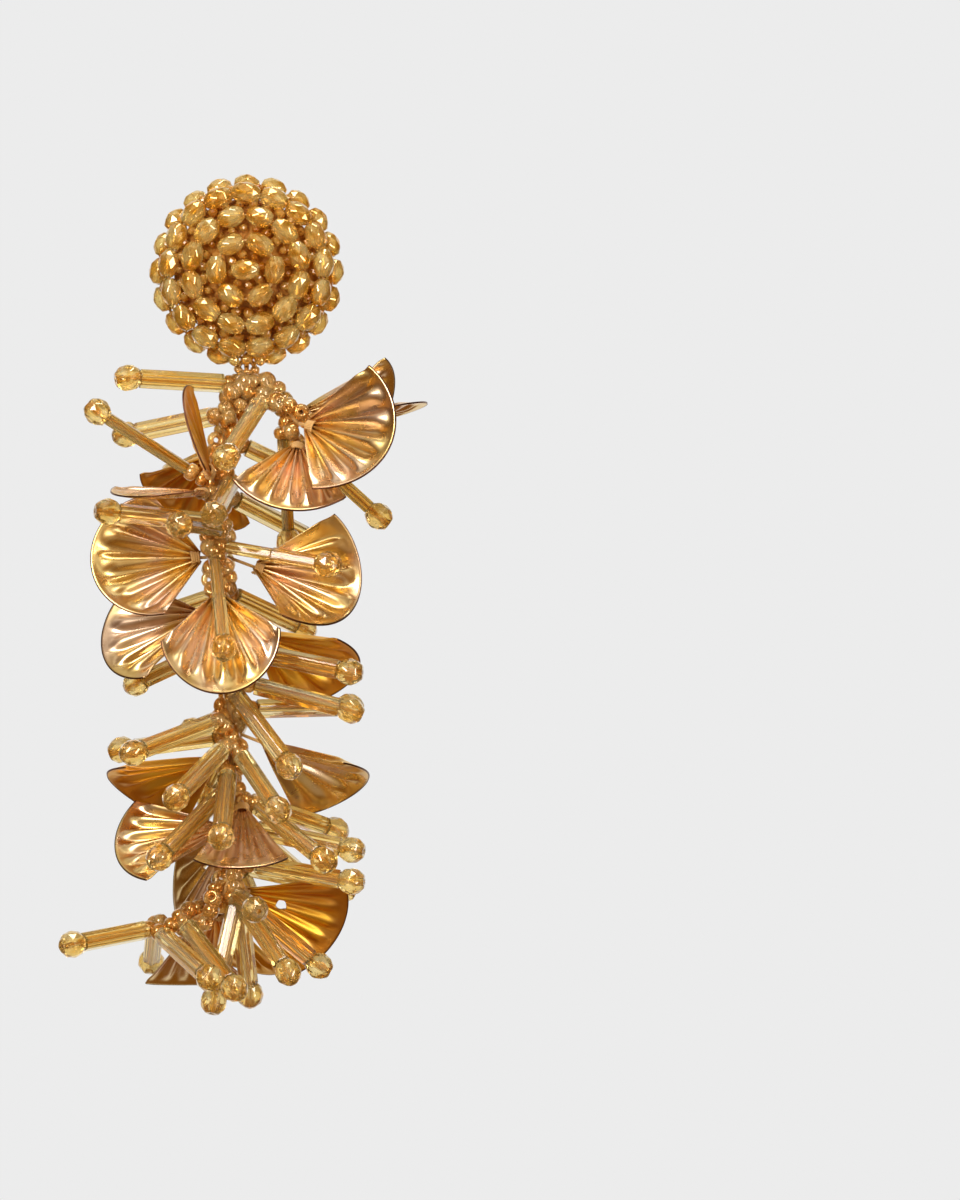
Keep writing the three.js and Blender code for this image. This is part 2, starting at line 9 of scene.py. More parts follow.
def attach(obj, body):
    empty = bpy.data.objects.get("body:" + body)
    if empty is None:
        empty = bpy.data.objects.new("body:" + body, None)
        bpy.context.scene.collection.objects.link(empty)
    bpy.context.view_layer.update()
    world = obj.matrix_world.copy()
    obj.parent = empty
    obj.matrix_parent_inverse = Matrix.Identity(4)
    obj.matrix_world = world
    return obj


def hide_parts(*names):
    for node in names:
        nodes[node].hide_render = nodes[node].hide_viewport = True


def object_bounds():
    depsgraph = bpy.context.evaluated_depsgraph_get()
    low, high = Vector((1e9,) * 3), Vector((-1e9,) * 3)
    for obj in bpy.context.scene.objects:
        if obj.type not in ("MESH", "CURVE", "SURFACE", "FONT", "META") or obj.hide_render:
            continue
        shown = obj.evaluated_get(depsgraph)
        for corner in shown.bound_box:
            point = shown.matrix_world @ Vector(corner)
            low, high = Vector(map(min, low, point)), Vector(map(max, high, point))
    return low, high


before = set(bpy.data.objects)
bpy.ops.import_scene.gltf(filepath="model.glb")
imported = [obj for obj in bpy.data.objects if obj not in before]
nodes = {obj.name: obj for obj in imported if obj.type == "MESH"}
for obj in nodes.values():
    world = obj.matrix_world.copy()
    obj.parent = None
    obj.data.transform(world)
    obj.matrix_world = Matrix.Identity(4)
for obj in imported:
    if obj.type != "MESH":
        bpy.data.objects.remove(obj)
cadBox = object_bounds()
mm = 0.001
fromMillimetres = Matrix.Scale(mm, 4)


# Node trees are built with three small classes: a wire is one output of a node,
# a made node hands its outputs out as wires, and a bench holds one tree.

class Wire:
    def __init__(self, bench, socket):
        self.bench = bench
        self.socket = socket

    def join(self, operation, *others):
        values = dict(enumerate((self,) + others))
        return self.bench.add("ShaderNodeMath", {"operation": operation}, values)[0]

    def __add__(self, other):
        return self.join("ADD", other)

    __radd__ = __add__

    def __sub__(self, other):
        return self.join("SUBTRACT", other)

    def __rsub__(self, other):
        return self.join("MULTIPLY_ADD", -1.0, other)

    def __mul__(self, other):
        return self.join("MULTIPLY", other)

    __rmul__ = __mul__

    def __truediv__(self, other):
        return self.join("DIVIDE", other)

    def cos(self):
        return self.join("COSINE")

    def sin(self):
        return self.join("SINE")

    def abs(self):
        return self.join("ABSOLUTE")

    def power(self, exponent):
        return self.join("POWER", exponent)

    def smooth(self, low, high, start=0.0, end=1.0):
        settings = {"interpolation_type": "SMOOTHSTEP"}
        values = {"Value": self, "From Min": low, "From Max": high, "To Min": start, "To Max": end}
        return self.bench.add("ShaderNodeMapRange", settings, values)["Result"]


class Made:
    def __init__(self, bench, node):
        self.bench = bench
        self.node = node

    def __getitem__(self, key):
        return Wire(self.bench, self.node.outputs[key])


class Bench:
    def __init__(self, tree):
        self.tree = tree

    def add(self, kind, settings=None, values=None):
        node = self.tree.nodes.new(kind)
        for key, value in (settings or {}).items():
            if key == "stops":
                self.setStops(node.color_ramp, value)
            else:
                setattr(node, key, value)
        self.fill(node, values or {})
        return Made(self, node)

    def fill(self, node, values):
        # a wire becomes a link, anything else is set on the socket itself
        for key, value in values.items():
            if isinstance(value, Wire):
                self.tree.links.new(value.socket, node.inputs[key])
            else:
                node.inputs[key].default_value = value

    def setStops(self, ramp, stops):
        while len(ramp.elements) < len(stops):
            ramp.elements.new(0.5)
        for element, (place, tint) in zip(ramp.elements, stops):
            element.position = place
            element.color = tint

    def objectPlace(self):
        return self.add("ShaderNodeTexCoord")["Object"]

    def mapped(self, mapName):
        return self.add("ShaderNodeUVMap", {"uv_map": mapName})["UV"]

    def noise(self, place, scale, detail=2.0, bend=0.0):
        values = {"Vector": place, "Scale": scale, "Detail": detail, "Distortion": bend}
        return self.add("ShaderNodeTexNoise", None, values)[0]

    def mixColours(self, share, first, second):
        values = {0: share, 6: first, 7: second}
        return self.add("ShaderNodeMix", {"data_type": "RGBA"}, values)[2]

    def bump(self, height, strength, distance):
        values = {"Strength": strength, "Distance": distance, "Height": height}
        return self.add("ShaderNodeBump", None, values)[0]

    def vector(self, operation, values):
        return self.add("ShaderNodeVectorMath", {"operation": operation}, values)[0]

    def split(self, vector):
        return self.add("ShaderNodeSeparateXYZ", None, {0: vector})

    def combine(self, x=0.0, y=0.0, z=0.0):
        return self.add("ShaderNodeCombineXYZ", None, {0: x, 1: y, 2: z})[0]

    def randomVector(self, low, high, seed):
        values = {0: (low, low, low), 1: (high, high, high), "Seed": seed}
        return self.add("FunctionNodeRandomValue", {"data_type": "FLOAT_VECTOR"}, values)[0]

    def randomNumber(self, low, high, seed):
        values = {2: low, 3: high, "Seed": seed}
        return self.add("FunctionNodeRandomValue", {"data_type": "FLOAT"}, values)[1]


def colour(red, green, blue):
    # from the 0-255 values of a colour picker to the linear ones that nodes hold
    def linear(value):
        value /= 255
        return value / 12.92 if value <= 0.04045 else ((value + 0.055) / 1.055) ** 2.4
    return (linear(red), linear(green), linear(blue), 1.0)


def newMaterial(name):
    material = bpy.data.materials.new(name)
    material.use_nodes = True
    bench = Bench(material.node_tree)
    shader = material.node_tree.nodes["Principled BSDF"]
    return material, bench, shader


# The finishes. A range holds the noise values between which a change runs,
# and where it is given, what the change starts and ends at.

glassLook = {
    "buttonBead": {"light": colour(255, 230, 146), "deep": colour(249, 190, 66),
                   "bumps": 600.0, "lustre": 0.32, "transmission": 0.72},
    # painted shade: the filler beads take a deeper, duller amber than the ring beads, so the channels
    # between the rings read dark
    "gapBead": {"light": colour(250, 196, 92), "deep": colour(222, 142, 32),
                "bumps": 900.0, "lustre": 0.06, "transmission": 0.6},
    "tipBead": {"light": colour(255, 236, 172), "deep": colour(250, 208, 108),
                "bumps": 700.0, "lustre": 0.12, "transmission": 0.92},
    "seedBead": {"light": colour(255, 216, 138), "deep": colour(248, 184, 84),
                 "bumps": 500.0, "lustre": 0.4, "transmission": 0.68},
}
glassSurface = {
    "cloudScale": 420.0, "tintRange": (0.38, 0.64), "lustreRange": (0.34, 0.6, 0.2, 1.0),
    "roughRange": (0.4, 0.7, 0.03, 0.1), "bump": 0.15, "bumpDistance": 0.00004,
    "glaze": {"IOR": 1.54, "Coat Weight": 0.8, "Coat Roughness": 0.05},
}


def glassMaterial(name, look):
    # pressed glass: tinted all through, deeper in places, with a little metal lustre there
    material, bench, shader = newMaterial(name)
    surface = glassSurface
    place = bench.objectPlace()
    cloud = bench.noise(place, surface["cloudScale"])
    fine = bench.noise(place, look["bumps"])
    depth = cloud.smooth(*surface["tintRange"])
    bench.fill(shader, {
        "Base Color": bench.mixColours(depth, look["light"], look["deep"]),
        "Roughness": fine.smooth(*surface["roughRange"]),
        "Metallic": cloud.smooth(*surface["lustreRange"]) * look["lustre"],
        "Normal": bench.bump(fine, surface["bump"], surface["bumpDistance"]),
        "Transmission Weight": look["transmission"], **surface["glaze"]})
    return material


bugleLook = {
    "stops": [(0.33, colour(247, 189, 70)), (0.47, colour(255, 231, 154)),
              (0.62, colour(255, 246, 208))],
    "stretch": (5.0, 0.3, 1.0), "roughRange": (0.35, 0.65, 0.04, 0.12), "bump": 0.04,
    "bumpDistance": 0.00005,
    "glaze": {"Transmission Weight": 0.9, "IOR": 1.5, "Coat Weight": 0.25, "Coat Roughness": 0.06},
}


def bugleMaterial():
    # drawn glass tube: bands run its whole length, so they follow the map round the tube
    material, bench, shader = newMaterial("bugleGlass")
    look = bugleLook
    around = bench.vector("MULTIPLY", {0: bench.mapped("aroundAlong"), 1: look["stretch"]})
    streak = bench.noise(around, 1.0, 1.0)
    bench.fill(shader, {
        "Base Color": bench.add("ShaderNodeValToRGB", {"stops": look["stops"]}, {"Fac": streak})[0],
        "Roughness": streak.smooth(*look["roughRange"]),
        "Normal": bench.bump(streak, look["bump"], look["bumpDistance"]), **look["glaze"]})
    return material


foilLook = {
    "gold": {"gold": colour(240, 208, 136), "rose": colour(242, 210, 180),
             "shade": colour(164, 110, 48), "rim": colour(110, 70, 48),
             "roughRange": (0.35, 0.7, 0.25, 0.34)},
    # painted shade: a darker, browner copy of the gold foil, for the fans that sit in shade behind
    # others
    "amber": {"gold": colour(250, 196, 70), "rose": colour(236, 176, 84),
              "shade": colour(122, 72, 16), "rim": colour(120, 76, 60),
              "roughRange": (0.35, 0.7, 0.34, 0.46)},
}
foilSurface = {
    # the neck range runs the painted shade from the crimped neck outwards
    "patchScale": 130.0, "patchRange": (0.4, 0.62), "neckRange": (0.0, 0.2, 0.75, 0.0),
    "rimRange": (0.988, 0.996), "fineScale": 380.0, "bump": 0.03, "bumpDistance": 0.00005,
}


def foilMaterial(name, look):
    # thin metal sheet, rosier in patches, with painted shade towards the crimped neck, and darker at
    # the cut rim
    material, bench, shader = newMaterial(name)
    surface = foilSurface
    place = bench.objectPlace()
    along = bench.split(bench.mapped("acrossAlong"))[1]
    patch = bench.noise(place, surface["patchScale"])
    fine = bench.noise(place, surface["fineScale"])
    metal = bench.mixColours(patch.smooth(*surface["patchRange"]), look["gold"], look["rose"])
    # painted shade: the foil darkens towards the crimped neck, where it sits among the other parts
    shaded = bench.mixColours(along.smooth(*surface["neckRange"]), metal, look["shade"])
    bench.fill(shader, {
        "Base Color": bench.mixColours(along.smooth(*surface["rimRange"]), shaded, look["rim"]),
        "Roughness": fine.smooth(*look["roughRange"]),
        "Normal": bench.bump(fine, surface["bump"], surface["bumpDistance"]), "Metallic": 1.0})
    return material


threadLook = {
    "dark": colour(196, 142, 72), "light": colour(240, 196, 120), "twistScale": 2600.0,
    "twistBend": 3.0, "bump": 0.5, "bumpDistance": 0.00005, "roughness": 0.45, "sheen": 0.4,
}


def threadMaterial():
    material, bench, shader = newMaterial("silkThread")
    look = threadLook
    twist = bench.add("ShaderNodeTexWave", {"wave_type": "BANDS", "bands_direction": "DIAGONAL"}, {
        "Vector": bench.objectPlace(), "Scale": look["twistScale"], "Distortion": look["twistBend"],
        "Detail": 1.0})[1]
    bench.fill(shader, {
        "Base Color": bench.mixColours(twist, look["dark"], look["light"]),
        "Normal": bench.bump(twist, look["bump"], look["bumpDistance"]),
        "Roughness": look["roughness"], "Sheen Weight": look["sheen"]})
    return material


feltLook = {
    "dark": colour(148, 84, 12), "middle": colour(192, 124, 32), "light": colour(216, 154, 66),
    "cloudScale": 160.0, "cloudRange": (0.35, 0.65), "fibreScale": 1800.0, "fibreDetail": 5.0,
    "fibreBend": 1.2, "fibreRange": (0.4, 0.7), "bump": 0.7, "bumpDistance": 0.00012,
    "roughness": 0.85, "sheen": 0.5,
}


def feltMaterial():
    material, bench, shader = newMaterial("amberFelt")
    look = feltLook
    place = bench.objectPlace()
    fibre = bench.noise(place, look["fibreScale"], look["fibreDetail"], look["fibreBend"])
    cloud = bench.noise(place, look["cloudScale"])
    base = bench.mixColours(cloud.smooth(*look["cloudRange"]), look["dark"], look["middle"])
    bench.fill(shader, {
        "Base Color": bench.mixColours(fibre.smooth(*look["fibreRange"]), base, look["light"]),
        "Normal": bench.bump(fibre, look["bump"], look["bumpDistance"]),
        "Roughness": look["roughness"], "Sheen Weight": look["sheen"]})
    return material


plateLook = {
    "bright": colour(236, 204, 140), "dull": colour(206, 164, 96), "scale": 900.0, "detail": 4.0,
    "tintRange": (0.35, 0.7), "roughRange": (0.3, 0.7, 0.14, 0.32),
}


def plateMaterial():
    material, bench, shader = newMaterial("platedPost")
    look = plateLook
    fine = bench.noise(bench.objectPlace(), look["scale"], look["detail"])
    bench.fill(shader, {
        "Base Color": bench.mixColours(fine.smooth(*look["tintRange"]), look["bright"], look["dull"]),
        "Roughness": fine.smooth(*look["roughRange"]), "Metallic": 1.0})
    return material


finishes = {name: glassMaterial(name + "Glass", look) for name, look in glassLook.items()}
finishes.update({
    "bugle": bugleMaterial(),
    "foil": foilMaterial("goldFoil", foilLook["gold"]),
    # the darker foil with painted shade, for the fans in shade
    "shadedAmberFoil": foilMaterial("shadedAmberFoil", foilLook["amber"]),
    "thread": threadMaterial(),
    "felt": feltMaterial(),
    "post": plateMaterial(),
})
print("finishes:", len(finishes))


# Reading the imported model, in millimetres

def cornersOf(name):
    points = np.array([vertex.co for vertex in nodes[name].data.vertices], float) / mm
    return np.unique(points.round(4), axis=0)


def longEdges(name, least):
    mesh = nodes[name].data
    found = {}
    for face in mesh.polygons:
        points = [np.array(mesh.vertices[i].co, float) / mm for i in face.vertices]
        for start, end in zip(points, points[1:] + points[:1]):
            if np.linalg.norm(end - start) > least:
                key = tuple(sorted((tuple(start.round(3)), tuple(end.round(3)))))
                found[key] = (start, end)
    return list(found.values())


def circleShift(spots, way):
    # how far the middle of a round of parallel lines lies from their mean
    side = np.cross(way, [0.3, 0.5, 0.8])
    side /= np.linalg.norm(side)
    plane = np.stack([spots @ side, spots @ np.cross(way, side)], axis=1)
    plane = np.unique(plane.round(2), axis=0)
    left = np.column_stack([2 * plane, np.ones(len(plane))])
    shift = np.linalg.lstsq(left, (plane ** 2).sum(1), rcond=None)[0]
    return shift[0] * side + shift[1] * np.cross(way, side)


def alongAndOff(points, centre, way):
    # how far each point lies along a line, and how far away from it
    along = (points - centre) @ way
    return along, np.linalg.norm((points - centre) - np.outer(along, way), axis=1)


def standing(root, across, depth, axis):
    # local X, Y and Z of a piece drawn in millimetres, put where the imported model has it
    rows = np.column_stack([across, depth, axis, root]).tolist()
    return fromMillimetres @ Matrix(rows + [[0, 0, 0, 1]])


def upright(root, way):
    way = Vector(way)
    across = way.cross(Vector((0, -1, 0)))
    if across.length < 0.1:
        across = way.cross(Vector((1, 0, 0)))
    across.normalize()
    return standing(root, across, way.cross(across), way)


def spoke(i, count):
    # the direction of one of a number of even steps round a circle
    angle = 2 * pi * i / count
    return cos(angle), sin(angle)


def up(height):
    return Matrix.Translation((0, 0, height))


def turned(angle, axis):
    return Matrix.Rotation(angle, 4, axis)


# Meshes

def newItem(name, data):
    item = bpy.data.objects.new(name, data)
    bpy.context.scene.collection.objects.link(item)
    return item


def evaluated(item):
    return bpy.data.meshes.new_from_object(item.evaluated_get(bpy.context.evaluated_depsgraph_get()))


def meshFrom(name, points, faces, material, maps=None):
    mesh = bpy.data.meshes.new(name)
    mesh.from_pydata(points, [], faces)
    mesh.materials.append(material)
    for mapName, values in (maps or {}).items():
        layer = mesh.uv_layers.new(name=mapName)
        for loop, value in zip(layer.data, values):
            loop.uv = value
    mesh.validate()
    return mesh


def outward(mesh):
    # turns every face of a closed mesh to the outside
    bm = bmesh.new()
    bm.from_mesh(mesh)
    bmesh.ops.recalc_face_normals(bm, faces=bm.faces)
    bm.to_mesh(mesh)
    bm.free()
    return mesh


def smoothed(mesh):
    for face in mesh.polygons:
        face.use_smooth = True
    return mesh


def moved(mesh, matrix):
    copy = mesh.copy()
    copy.transform(matrix)
    return copy


def turnedMesh(name, profile, sides, material):
    # a closed skin round Z from [radius, height] pairs; a pair on the axis becomes one point
    points, rings, faces = [], [], []
    for radius, height in profile:
        if radius == 0:
            rings.append([len(points)] * sides)
            points.append((0, 0, height))
            continue
        rings.append(list(range(len(points), len(points) + sides)))
        points += [(radius * x, radius * y, height) for x, y in (spoke(i, sides) for i in range(sides))]
    closed = profile[0][0] != 0
    for ring, above in zip(rings, rings[1:] + ([rings[0]] if closed else [])):
        for i in range(sides):
            j = (i + 1) % sides
            corners = [ring[i], ring[j], above[j], above[i]]
            face = [c for n, c in enumerate(corners) if c not in corners[:n]]
            if len(face) > 2:
                faces.append(face)
    return outward(meshFrom(name, points, faces, material))


def tubeMesh(name, frames, wire, sides, material, closed=False):
    # a round wire through [centre, out, flat] frames: a ring when closed, or else capped
    points = []
    for centre, out, flat in frames:
        for j in range(sides):
            x, y = spoke(j, sides)
            points.append(centre + wire * (out * x + flat * y))
    count, faces = len(frames), []
    for i in range(count if closed else count - 1):
        here, there = i * sides, (i + 1) % count * sides
        for j in range(sides):
            k = (j + 1) % sides
            faces.append((here + j, here + k, there + k, there + j))
    if not closed:
        faces.append(tuple(reversed(range(sides))))
        faces.append(tuple(range((count - 1) * sides, count * sides)))
    return smoothed(outward(meshFrom(name, points, faces, material)))


wireRing = {"steps": 36, "sides": 10}


def roundWire(name, radius, wire, centre, material, alongX=False):
    # a ring of wire that faces the front, or the side with alongX
    flat = Vector((1, 0, 0) if alongX else (0, 1, 0))
    frames = []
    for i in range(wireRing["steps"]):
        x, z = spoke(i, wireRing["steps"])
        out = Vector((0, x, z) if alongX else (x, 0, z))
        frames.append((Vector(centre) + out * radius, out, flat))
    return tubeMesh(name, frames, wire, wireRing["sides"], material, closed=True)


def threadRod(radius, length):
    # a straight thread along Z with pointed ends
    profile = [(0, -0.1), (radius, 0), (radius, length - 0.1), (0, length)]
    return smoothed(turnedMesh("thread", profile, 8, finishes["thread"]))


def drilled(mesh, drill, solver):
    # one mesh less another
    body, tool = newItem("body", mesh), newItem("drill", drill)
    cut = body.modifiers.new("bore", "BOOLEAN")
    cut.operation = "DIFFERENCE"
    cut.solver = solver
    cut.object = tool
    made = evaluated(body)
    bpy.data.objects.remove(body)
    bpy.data.objects.remove(tool)
    return made


def drillMesh(radius, reach, sides, material):
    profile = [(0, -reach), (radius, -reach), (radius, reach), (0, reach)]
    return turnedMesh("drill", profile, sides, material)


facetLook = {
    # the rows of facets: place along the bead, share of its radius, half steps of turn
    "rows": [(-0.5, 0.5, 0), (-0.27, 0.88, 1), (0.0, 1.0, 0), (0.27, 0.88, 1), (0.5, 0.5, 0)],
    "bevel": 0.05, "drillSides": 12,
}


def facettedBead(name, material, length, radius, sides, bore):
    # fire-polished: rows of facets set half a step apart, softened, then bored through
    bm = bmesh.new()
    for place, share, turn in facetLook["rows"]:
        for i in range(sides):
            x, y = spoke(i + turn / 2, sides)
            bm.verts.new((radius * share * x, radius * share * y, place * length))
    bmesh.ops.convex_hull(bm, input=bm.verts)
    bevel = facetLook["bevel"] * radius
    bmesh.ops.bevel(bm, geom=bm.edges[:], offset=bevel, segments=1, affect="EDGES")
    mesh = bpy.data.meshes.new(name)
    bm.to_mesh(mesh)
    bm.free()
    made = drilled(mesh, drillMesh(bore, length, facetLook["drillSides"], material), "EXACT")
    made.materials.clear()
    made.materials.append(material)
    return made


collarShape = {
    # [share of the radius, share of the half height] from the hole round the shoulder
    "profile": [(0.28, -0.8), (0.62, -1.0), (0.93, -0.6), (1.0, 0.0), (0.93, 0.6), (0.62, 1.0),
                (0.28, 0.8)],
}


def collarBead(radius, half, sides):
    # a seed bead: short, round shouldered, with a small hole
    profile = [(radius * wide, half * high) for wide, high in collarShape["profile"]]
    return smoothed(turnedMesh("collar", profile, sides, finishes["seedBead"]))


def finishPiece(name, meshes, matrix, body, node):
    # one mesh from several, with their materials and maps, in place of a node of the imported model
    holders = [newItem(name, moved(mesh, matrix)) for mesh in meshes]
    item = holders[0]
    with bpy.context.temp_override(active_object=item, object=item, selected_objects=holders,
                                   selected_editable_objects=holders):
        bpy.ops.object.join()
    item.name = name
    item.data.name = name
    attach(item, body)
    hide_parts(node)


# Node trees that build what repeats

def newTree(name, objects=(), floats=(), whole=()):
    tree = bpy.data.node_groups.new(name, "GeometryNodeTree")
    tree.is_modifier = True
    tree.interface.new_socket("Geometry", in_out="INPUT", socket_type="NodeSocketGeometry")
    kinds = {"NodeSocketObject": objects, "NodeSocketFloat": floats, "NodeSocketInt": whole,
             "NodeSocketMaterial": ("Finish",)}
    for kind, labels in kinds.items():
        for label in labels:
            tree.interface.new_socket(label, in_out="INPUT", socket_type=kind)
    tree.interface.new_socket("Geometry", in_out="OUTPUT", socket_type="NodeSocketGeometry")
    bench = Bench(tree)
    return tree, bench, bench.add("NodeGroupInput")


def endTree(bench, given, geometry):
    plain = bench.add("GeometryNodeRealizeInstances", None, {0: geometry})[0]
    values = {"Geometry": plain, "Material": given["Finish"]}
    painted = bench.add("GeometryNodeSetMaterial", None, values)[0]
    bench.add("NodeGroupOutput", None, {0: painted})


def placed(bench, geometry, values):
    return bench.add("GeometryNodeSetPosition", None, {"Geometry": geometry, **values})[0]


def sewnOn(bench, points, item, values):
    # one of the item on every point
    shape = bench.add("GeometryNodeObjectInfo", None, {0: item})["Geometry"]
    values = {"Points": points, "Instance": shape, **values}
    return bench.add("GeometryNodeInstanceOnPoints", None, values)[0]


def ringOfPoints(bench, given, angle):
    # a number of points, each at its own angle round the middle of the button
    line = bench.add("GeometryNodePoints", None, {"Count": given["Count"]})[0]
    across, height = angle.cos() * given["Radius"], angle.sin() * given["Radius"]
    return placed(bench, line, {"Position": bench.combine(across, given["Depth"] * -1.0, height)})


def grown(name, tree, values, extra=None):
    # runs a tree on an empty mesh and keeps the plain result
    item = newItem(name, bpy.data.meshes.new(name))
    modifier = item.modifiers.new(name, "NODES")
    modifier.node_group = tree
    for socket in tree.interface.items_tree:
        if socket.in_out == "INPUT" and socket.name in values:
            modifier[socket.identifier] = values[socket.name]
    if extra:
        extra(item)
    mesh = evaluated(item)
    bpy.data.objects.remove(item)
    return mesh


# Pleated fans

fanLook = {
    "reach": 13.8, "acrossPoints": 141, "alongPoints": 40, "pleats": 6.0, "depth": 0.46,
    "plainFrom": 0.78, "plainTo": 0.96, "neck": 0.7, "thickness": 0.2, "crinkle": 0.03, "lip": 0.12,
    "shallow": {"fan_05": 0.2, "fan_06": 0.25, "fan_16": 0.3, "fan_17": 0.25, "fan_20": 0.12},
    # the fans that sit in shade, given the foil with painted shade
    "seedStep": 3.7, "amber": ("fan_05", "fan_07", "fan_12", "fan_14", "fan_16", "fan_18"),
    "sewn": ("fan_16", "fan_19"), "holeRadius": 0.65, "holeAlong": 0.42, "holeSides": 24,
    "wireRadius": 0.2, "neckFrom": 0.5, "wireBeyond": 0.9,
}
fanMarks = {
    # how a fan's parts are told by its corners, in millimetres apart from the count and the angle
    "crowdGap": 0.8, "crowdCount": 4, "rimGap": 0.5, "bladeFrom": 3.0, "edgeDepth": 0.3,
    "edgeAngle": 0.02,
}


def fanShape(name):
    marks, reach = fanMarks, fanLook["reach"]
    corners = cornersOf(name)
    gaps = np.linalg.norm(corners[:, None] - corners[None], axis=2)
    # corners crowd only at the stem, at the neck and round a sewing hole; the stem ends farthest out
    crowded = (gaps < marks["crowdGap"]).sum(1) > marks["crowdCount"]
    away = np.linalg.norm(corners - corners[~crowded].mean(0), axis=1)
    root = corners[gaps[(away * crowded).argmax()] < marks["crowdGap"]].mean(0)
    farthest = np.linalg.norm(corners - root, axis=1).argmax()
    rim = corners[gaps[farthest] < marks["rimGap"]].mean(0)
    length = np.linalg.norm(rim - root)
    axis = (rim - root) / length
    rel = corners - root
    along = rel @ axis
    flat = rel - np.outer(along, axis)
    across = np.linalg.eigh(flat.T @ flat)[1][:, 2]
    if np.cross(axis, across)[1] < 0:
        across = -across
    depth = np.cross(axis, across)
    stem = length - reach
    x, y, z = rel @ across, rel @ depth, along - stem
    wide = z > marks["bladeFrom"]
    angle = np.abs(np.arctan2(x, z))
    half = angle[wide].max()
    radius = np.hypot(x, z)
    edge = wide & (angle > half - marks["edgeAngle"])
    outer = edge & (radius > radius[edge].max() - marks["edgeDepth"])
    corner = radius[outer].mean()
    curl = -y[outer].mean() / (corner * (1 - cos(2 * half)))
    roundness = log(corner / reach) / log(cos(half))
    return {"root": root, "across": across, "depth": depth, "axis": axis, "stem": float(stem),
            "half": float(half), "curl": float(curl), "roundness": float(roundness)}


pleatLook = {
    # how round a ridge is, how far its end may shift, how it rises from the neck
    "ridgeFall": -0.25, "ridgeTop": 1.2, "unevenScale": 3.0, "unevenShift": 0.12,
    "riseRange": (-0.1, 0.3, 0.35, 1.0), "lipFrom": 0.93, "crinkleScale": 0.42,
}


def fanTree():
    tree, bench, given = newTree("pleatedFan", floats=(
        "Reach", "Stem", "Half spread", "Curl", "Roundness", "Pleats", "Pleat depth", "Neck",
        "Plain from", "Plain to", "Crinkle", "Lip", "Seed"), whole=("Across points", "Along points"))
    look = pleatLook
    grid = bench.add("GeometryNodeMeshGrid", None, {
        "Size X": 2.0, "Size Y": 1.0, "Vertices X": given["Across points"],
        "Vertices Y": given["Along points"]})
    spot = bench.split(bench.add("GeometryNodeInputPosition")[0])
    side = spot[0]
    along = spot[1] + 0.5
    angle = side * given["Half spread"]
    edge = angle.cos().power(given["Roundness"]) * given["Reach"]
    radius = given["Neck"] + along * (edge - given["Neck"])
    wave = ((side + 1.0) * (given["Pleats"] * pi)).cos()
    ridge = wave * (wave.abs() * look["ridgeFall"] + look["ridgeTop"])
    # every pleat ends a little sooner or later than the next one
    uneven = bench.add("ShaderNodeTexNoise", {"noise_dimensions": "1D"}, {
        "W": side * look["unevenScale"] + given["Seed"], "Scale": 1.0})[0]
    ending = along + (uneven - 0.5) * look["unevenShift"]
    fade = ending.smooth(given["Plain from"], given["Plain to"], 1.0, 0.0)
    pleat = ridge * fade * along.smooth(*look["riseRange"]) * given["Pleat depth"]
    bend = given["Curl"] * radius * (1.0 - (angle * 2.0).cos())
    x, z = radius * angle.sin(), radius * angle.cos()
    crinkle = bench.add("ShaderNodeTexNoise", {"noise_dimensions": "4D"}, {
        "Vector": bench.combine(x, 0.0, z), "W": given["Seed"], "Scale": look["crinkleScale"],
        "Detail": 2.0})[0]
    lip = along.smooth(look["lipFrom"], 1.0) * given["Lip"]
    depth = -1.0 * pleat - bend - lip + (crinkle - 0.5) * (given["Crinkle"] * 2.0) * along
    mapped = bench.add("GeometryNodeStoreNamedAttribute", {"data_type": "FLOAT2", "domain": "CORNER"}, {
        "Geometry": grid["Mesh"], "Name": "acrossAlong",
        "Value": bench.combine(side * 0.5 + 0.5, along)})[0]
    shaped = placed(bench, mapped, {"Position": bench.combine(x, depth, given["Stem"] + z)})
    endTree(bench, given, bench.add("GeometryNodeSetShadeSmooth", None, {"Geometry": shaped})[0])
    return tree


def thicken(item):
    wall = item.modifiers.new("wall", "SOLIDIFY")
    wall.thickness = fanLook["thickness"]
    wall.offset = 0.0


wrapLook = {
    "radiusX": 0.75, "radiusY": 0.55, "wire": 0.16, "turns": 4, "pitch": 0.28, "steps": 14, "sides": 6,
}


def wrapMesh(start):
    # thread wound round the crimped neck, as one tube
    look = wrapLook
    frames = []
    for i in range(look["turns"] * look["steps"] + 1):
        x, y = spoke(i, look["steps"])
        height = start + look["pitch"] * i / look["steps"]
        centre = Vector((look["radiusX"] * x, look["radiusY"] * y, height))
        frames.append((centre, Vector((x, y, 0)), Vector((0, 0, 1))))
    return tubeMesh("wraps", frames, look["wire"], look["sides"], finishes["thread"])


def sewnHole(sheet, along, finish):
    punch = drillMesh(fanLook["holeRadius"], 4, fanLook["holeSides"], finish)
    return drilled(sheet, moved(punch, up(along) @ turned(pi / 2, "X")), "MANIFOLD")


